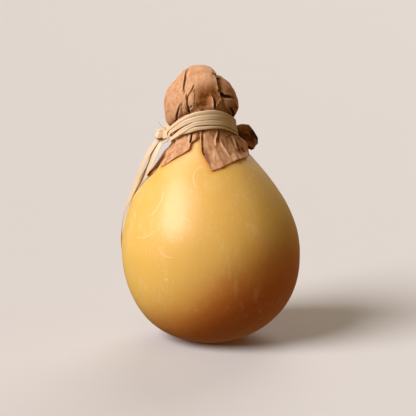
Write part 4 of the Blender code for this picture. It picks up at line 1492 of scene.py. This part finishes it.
def creased(shift, points, normals, on_cap, on_skirt):
    """The sheet's shifts with those of its creases, and the shade painted in the creases."""
    where, ways = points.reshape(-1, 3), normals.reshape(-1, 3)
    total, painted_shade = shift.reshape(-1), 0.0
    for creases, sheet in ((CAP_CREASES, on_cap), (SKIRT_CREASES, on_skirt)):
        for *kind_and_sizes, line in creases:
            moved, darker = crease_shift(where, ways, *kind_and_sizes, marks_on(sheet, line))
            total, painted_shade = total + moved, painted_shade + darker
    return total.reshape(shift.shape), painted_shade.reshape(shift.shape)


def shaded_and_stained(soaked, points, on_cap, on_skirt):
    """The given painted shade with the tables' painted shade and greasy stains added."""
    for stains, sheet in ((CAP_SHADE_AND_STAINS, on_cap), (SKIRT_SHADE_AND_STAINS, on_skirt)):
        for degrees, up, reach, strength in stains:
            middle = marks_on(sheet, [(degrees, up, strength)])[0, :3]
            soaked = soaked + strength * hill(np.linalg.norm(points - middle, axis=-1), reach * MM)
    return soaked


def make_paper_grid(look):
    """Points[column, row] of the crumpled sheet's outer face, its crests, which set wear and painted shade
    in hollows, and how much painted shade and greasy stain each has.
    """
    even = np.linspace(-math.pi, math.pi, look.columns, endpoint=False)
    azimuth = even - CROWDING * np.sin(even)
    radius, height, along = sheet_profile(azimuth, look)
    cap_foot, skirt_top = look.cap_rows, look.cap_rows + look.waist_rows
    above = np.clip(along[:, cap_foot : cap_foot + 1] - along, 0.0, None)
    below = np.clip(along - along[:, skirt_top : skirt_top + 1], 0.0, None)
    free = ease(above / FREE_ABOVE) + ease(below / FREE_BELOW)
    knot = beside_knot(azimuth)[:, None]
    turned = azimuth[:, None] + 0 * along
    broad, thin = pleats(place(turned, radius, height), turned, above, below, knot)
    radius = radius + (broad + thin * (1 - 0.5 * knot)) * MM
    points = place(turned, radius, height)
    normals = profile_normals(turned, radius, height)

    elevation = np.degrees(np.arctan2(height - CAP_HEIGHT, radius))
    on_cap = (azimuth, radius[:, :skirt_top], height[:, :skirt_top], elevation[:, :skirt_top])
    on_skirt = (azimuth, radius[:, cap_foot:], height[:, cap_foot:], height[:, cap_foot:] / MM)
    shift = sheet_facets(turned, along, above, free, look)
    shift, painted_shade = creased(shift, points, normals, on_cap, on_skirt)
    soaked = shaded_and_stained(painted_shade, points, on_cap, on_skirt)
    held = np.clip(free + CREASES_HELD, 0.0, 1.0)
    points = off_cheese(points + normals * (shift * held)[..., None], turned)

    relief = shift + broad * MM * 0.5 + thin * MM
    crest = 0.5 + (relief - blurred(relief, CREST_BLURS)) / CREST_HEIGHT
    points[:, 0] = points[:, 0].mean(axis=0)
    return points, {"crest": np.clip(crest, 0.0, 1.0), "soaked": np.clip(soaked, 0.0, MOST_SOAK_AND_SHADE)}


def strand_mesh(name, path, facing, widths, thickness, seed, number, grooves=(), relief=0.0, closed=False):
    """A flat strand along path with long grooves and fine fibres, its outer face turned towards facing.

    number sets the strand's place in the pattern of the raffia's finish.
    """
    rng = np.random.default_rng(seed)
    ahead, behind = np.roll(path, -1, axis=0), np.roll(path, 1, axis=0)
    if not closed:
        ahead[-1], behind[0] = path[-1], path[0]
    tangent = unit(ahead - behind)
    across = unit(np.cross(tangent, facing))
    out = np.cross(across, tangent)

    spread = np.sin(np.linspace(-0.5 * math.pi, 0.5 * math.pi, STRAND_CORNERS))
    drift = np.stack([wander(path, 16 * MM, seed + k) for k in range(3)], axis=1)
    body = np.sqrt(np.clip(1.0 - spread**4, 0.0, 1.0))[None] * np.ones((len(path), 1))
    outer = body * (1.0 + 0.12 * drift[:, :1] * spread[None])
    for k, groove in enumerate(grooves):
        middle = groove + 0.10 * drift[:, k % 3]
        outer = outer - GROOVE_DEPTH * hill(spread[None] - middle[:, None], GROOVE_REACH) * body
    fibres = rng.uniform(-1.0, 1.0, (4, len(spread)))
    weights = np.stack([wander(path, 11 * MM, seed + 10 + k) + 0.4 for k in range(4)], axis=1)
    fibre_height = (weights @ fibres) * relief * np.clip(body * 1.6 - 0.5, 0.0, 1.0)
    top = 0.5 * thickness * outer + fibre_height
    bottom = -0.5 * thickness * body

    round_way = np.concatenate([spread, spread[::-1][1:-1]])[None]
    lift = np.concatenate([top, bottom[:, ::-1][:, 1:-1]], axis=1)
    edge = 1.0 + 0.05 * np.sign(round_way) * drift[:, 1:2]
    side = 0.5 * widths[:, None] * round_way * edge
    points = path[:, None] + across[:, None] * side[..., None] + out[:, None] * lift[..., None]
    return ring_mesh(name, points, closed, {"across": side / MM + number * PATTERN_STEP})


def strand_course(course):
    """Azimuth, rise, standing out and width, in radians and metres, at even steps along a strand."""
    table = np.array(course, float)
    table[:, 0] *= MM_PER_DEGREE
    line = smooth_line(table, STRAND_STEPS)
    return np.radians(line[:, 0] / MM_PER_DEGREE), line[:, 1] * MM, line[:, 2] * MM, line[:, 3] * MM


def tail_route(settings, shown_side):
    """Points of a tail's middle line and the way that its flat side faces, as in the model's own source."""
    width, (turned_on, shown), free, resting = settings
    width = width * MM
    rest = []
    for degrees, height in resting:
        z = height * MM
        rest.append(place(math.radians(degrees), pear_radius(z) + TAIL_GAP + 0.5 * STRAND_THICKNESS, z))
    path = smooth_line(np.vstack([np.array(free) * MM, np.array(rest)]), TAIL_STEPS)
    normal = pear_normal(path)
    turned = ease((path[:, 2] / MM - turned_on) / (shown - turned_on))[:, None]
    facing = normal * (1 - turned) + np.array(shown_side) * turned
    across = unit(np.cross(np.gradient(path, axis=0), facing))
    stands_up = np.abs(np.sum(across * normal, axis=1))
    needed = TAIL_GAP + 0.5 * STRAND_THICKNESS + 0.5 * width * stands_up
    x0, y0 = middle_line(path[:, 2])
    short = needed - (np.hypot(path[:, 0] - x0, path[:, 1] - y0) - pear_radius(path[:, 2]))
    return path + normal * np.clip(short, 0.0, None)[:, None], facing


def tail_strip(settings, shown_side, aside, width, seed):
    """Points of a tail's strip from the knot to its end, the way that it faces and its width at each."""
    path, facing = tail_route(settings, shown_side)
    fine = smooth_line(path, FINE_STEPS)
    off = np.array(aside) * MM
    for axis in (1, 2):
        fine[:, axis - 1] += np.interp(fine[:, 2], off[:, 0], off[:, axis])
    kept = np.linspace(0, FINE_STEPS - 1, 16).round().astype(int)
    fine = smooth_line(fine[kept], FINE_STEPS)
    widths = width * (1.0 + 0.05 * wander(fine, 12 * MM, seed + 3))
    widths *= 1.0 + WIDER_BY * hill(fine[:, 2] / MM - WIDEST_HEIGHT, WIDE_REACH)
    widths *= 0.8 + 0.2 * ease(np.linspace(0.0, 5.0, len(fine)))
    widths[: len(TIED_END)] *= TIED_END
    widths[-len(LOOSE_END) :] *= LOOSE_END
    return fine, smooth_line(facing, FINE_STEPS), widths


def add_raffia(context, name, mesh):
    """Adds a piece of raffia; all of them share one material."""
    material = bpy.data.materials.get("raffia_fibre") or raffia_finish(context.scene.manteca_raffia)
    return add_piece(name, mesh, material)


def add_floor(context, look):
    """The floor, which sends no light of its own colour back to the cheese."""
    half = FLOOR_HALF
    mesh = bpy.data.meshes.new("floor")
    corners = [(-half, -half, 0), (half, -half, 0), (half, half, 0), (-half, half, 0)]
    mesh.from_pydata(corners, [], [(0, 1, 2, 3)])
    mesh.materials.append(floor_finish(look))
    floor = bpy.data.objects.new("floor", mesh)
    context.scene.collection.objects.link(floor)
    floor.visible_diffuse = False
    floor.visible_glossy = False


def add_lights(context, look):
    """Three soft lights and a dim warm surround."""
    for name, azimuth, elevation, softness, colour in LIGHTS:
        lamp = bpy.data.lights.new(name + "_light", "SUN")
        lamp.energy = getattr(look, name)
        lamp.angle = math.radians(softness)
        lamp.color = colour
        light = bpy.data.objects.new(name + "_light", lamp)
        toward = Vector(direction(math.radians(azimuth), math.radians(elevation)))
        light.rotation_euler = toward.to_track_quat("Z", "Y").to_euler()
        context.scene.collection.objects.link(light)
    world = bpy.data.worlds.new("soft_surround")
    world.use_nodes = True
    back = world.node_tree.nodes["Background"]
    back.inputs["Color"].default_value = SKY_COLOUR
    back.inputs["Strength"].default_value = look.sky
    context.scene.world = world
    context.scene.view_settings.view_transform = "Standard"


def add_camera(context):
    """The camera, at the height and distance of the photograph's."""
    camera = bpy.data.cameras.new("camera")
    camera.sensor_width = FILM_WIDTH
    camera.lens = LENS
    camera.clip_start, camera.clip_end = 0.02, 60.0
    eye = bpy.data.objects.new("camera", camera)
    tilt = math.radians(CAMERA_ELEVATION)
    aim = Vector((AIM_RIGHT, 0.0, 0.0)) + AIM_UP * Vector((0.0, math.sin(tilt), math.cos(tilt)))
    eye.location = aim + CAMERA_DISTANCE * Vector((0.0, -math.cos(tilt), math.sin(tilt)))
    eye.rotation_euler = (0.5 * math.pi - tilt, 0.0, 0.0)
    context.scene.collection.objects.link(eye)
    context.scene.camera = eye


class MANTECA_OT_stage(bpy.types.Operator):
    """Makes the floor, the soft lights and the camera"""

    bl_idname = "manteca.stage"
    bl_label = "Stage"

    def execute(self, context):
        look = context.scene.manteca_stage
        add_floor(context, look)
        add_lights(context, look)
        add_camera(context)
        return {"FINISHED"}


class MANTECA_OT_tails(bpy.types.Operator):
    """Makes the two raffia ends that hang from the knot and rest on the cheese"""

    bl_idname = "manteca.tails"
    bl_label = "Raffia tails"

    def execute(self, context):
        look = context.scene.manteca_raffia
        for node, settings, shown_side, wider, aside, grooves, seed, number in TAILS:
            width = settings[0] * wider * MM
            fine, facing, widths = tail_strip(settings, shown_side, aside, width, seed)
            name = "raffia_" + node
            mesh = strand_mesh(
                name, fine, facing, widths, look.thickness, seed, number, grooves, look.relief
            )
            tail = add_raffia(context, name, mesh)
            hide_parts(node)
        return {"FINISHED"}


class MANTECA_OT_cheese(bpy.types.Operator):
    """Makes the pear of cheese"""

    bl_idname = "manteca.cheese"
    bl_label = "Cheese"

    def execute(self, context):
        look = context.scene.manteca_cheese
        points, marks = make_cheese_grid(look)
        mesh = grid_mesh("cheese_pear", points, marks, weld=FOOT_WELD)
        pear = add_piece("cheese_pear", mesh, cheese_finish(look))
        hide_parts("cheese")
        return {"FINISHED"}


class MANTECA_OT_paper(bpy.types.Operator):
    """Makes the sheet of brown paper, gathered over the head and crumpled"""

    bl_idname = "manteca.paper"
    bl_label = "Paper wrap"

    def execute(self, context):
        look = context.scene.manteca_paper
        points, marks = make_paper_grid(look)
        mesh = grid_mesh("paper_sheet", points, marks)
        sheet = add_piece("paper_sheet", mesh, paper_finish(look))
        thicken = sheet.modifiers.new("Thickness", "SOLIDIFY")
        thicken.thickness = look.thickness
        thicken.offset = -1.0
        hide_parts("paper_wrap")
        return {"FINISHED"}


def turn_mesh(name, grooves, course, number, look):
    """One turn of the tie along its course, pressed against the paper with a small wander and twist."""
    azimuth, rise, over, widths = strand_course(course)
    circle = np.stack([np.cos(azimuth), np.sin(azimuth), 0 * azimuth + number], axis=1)
    level = tie_height(azimuth) + rise + TURN_WANDER * wander(circle, 0.5, 20 + number)
    slope = band_slope(azimuth)
    radius = WAIST_RADIUS + slope * (tie_height(azimuth) + TIE_TOP - level) + STRAND_STANDOFF + over
    twist = TURN_TWIST * wander(circle, 0.5, 40 + number)
    return strand_mesh(
        name,
        place(azimuth, radius, level),
        direction(azimuth, np.arctan(slope) + twist),
        widths * (1.0 + TURN_UNEVEN * wander(circle, 0.4, 50 + number)),
        look.thickness,
        seed=60 + 7 * number,
        number=number,
        grooves=grooves,
        relief=look.relief,
    )


def knot_block_mesh(look):
    """A flat ring of raffia that closes on itself, as high at each place as the knot's folded block."""
    block = np.array(KNOT_BLOCK)
    left, right = block[0, 0], block[-1, 0]
    middle, half = 0.5 * (left + right), 0.5 * (right - left)
    turn = np.linspace(0.0, TURN, KNOT_STEPS, endpoint=False)
    x = middle + half * np.sign(np.cos(turn)) * np.abs(np.cos(turn)) ** 0.8
    y = KNOT_DEPTH - KNOT_HALF_DEPTH * np.sign(np.sin(turn)) * np.abs(np.sin(turn)) ** 0.7
    low, high = np.interp(x, block[:, 0], block[:, 1]), np.interp(x, block[:, 0], block[:, 2])
    return strand_mesh(
        "raffia_knot_block",
        np.stack([x, y, 0.5 * (low + high)], axis=1) * MM,
        np.stack([np.cos(turn), -np.sin(turn), 0.12 + 0 * turn], axis=1),
        (high - low) * MM,
        KNOT_THICKNESS,
        seed=95,
        number=9,
        grooves=(0.62,),
        relief=look.relief,
        closed=True,
    )


class MANTECA_OT_tie(bpy.types.Operator):
    """Makes the raffia's turns round the neck"""

    bl_idname = "manteca.tie"
    bl_label = "Raffia turns"

    def execute(self, context):
        look = context.scene.manteca_raffia
        for number, (node, grooves, course) in enumerate(TIE_STRANDS):
            mesh = turn_mesh("raffia_" + node, grooves, course, number, look)
            turn = add_raffia(context, "raffia_" + node, mesh)
            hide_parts(node)
        return {"FINISHED"}


class MANTECA_OT_knot(bpy.types.Operator):
    """Makes the knot: a folded block of raffia, the ends that pass under and over it, and stray fibres"""

    bl_idname = "manteca.knot"
    bl_label = "Raffia knot"

    def execute(self, context):
        fold = add_raffia(context, "raffia_knot_block", knot_block_mesh(context.scene.manteca_raffia))
        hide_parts("tie_knot")
        for number, (bit, thickness, line) in enumerate(KNOT_BITS):
            name = "raffia_knot_" + bit
            line = smooth_line(np.array(line) * MM, BIT_STEPS)
            facing = np.tile(np.array(SHOWN_SIDE), (len(line), 1))
            places, widths = line[:, :3], line[:, 3]
            mesh = strand_mesh(name, places, facing, widths, thickness * MM, 97 + number, 10 + number)
            add_raffia(context, name, mesh)
        return {"FINISHED"}


class MANTECA_PT_pieces(bpy.types.Panel):
    """Lists the pieces and their sizes and colours"""

    bl_idname = "MANTECA_PT_pieces"
    bl_label = "Manteca cheese"
    bl_space_type = "VIEW_3D"
    bl_region_type = "UI"
    bl_category = "Manteca"

    def draw(self, context):
        for operator, group in PANEL_ROWS:
            box = self.layout.box()
            box.operator(operator)
            if group:
                settings = getattr(context.scene, group)
                for key in settings.__annotations__:
                    box.prop(settings, key)


PANEL_ROWS = (
    ("manteca.stage", "manteca_stage"),
    ("manteca.tails", "manteca_raffia"),
    ("manteca.cheese", "manteca_cheese"),
    ("manteca.paper", "manteca_paper"),
    ("manteca.tie", None),
    ("manteca.knot", None),
)
GROUPS = {
    "manteca_cheese": MANTECA_PG_cheese,
    "manteca_paper": MANTECA_PG_paper,
    "manteca_raffia": MANTECA_PG_raffia,
    "manteca_stage": MANTECA_PG_stage,
}
CLASSES = (
    *GROUPS.values(),
    MANTECA_OT_stage,
    MANTECA_OT_tails,
    MANTECA_OT_cheese,
    MANTECA_OT_paper,
    MANTECA_OT_tie,
    MANTECA_OT_knot,
    MANTECA_PT_pieces,
)


def register():
    for made in CLASSES:
        bpy.utils.register_class(made)
    for name, group in GROUPS.items():
        setattr(bpy.types.Scene, name, PointerProperty(type=group))


def unregister():
    for name in GROUPS:
        delattr(bpy.types.Scene, name)
    for made in reversed(CLASSES):
        bpy.utils.unregister_class(made)


def main():
    """Makes all the pieces."""
    register()
    bpy.ops.manteca.stage()
    bpy.ops.manteca.tails()
    bpy.ops.manteca.cheese()
    bpy.ops.manteca.paper()
    bpy.ops.manteca.tie()
    bpy.ops.manteca.knot()


if __name__ == "__main__":
    main()
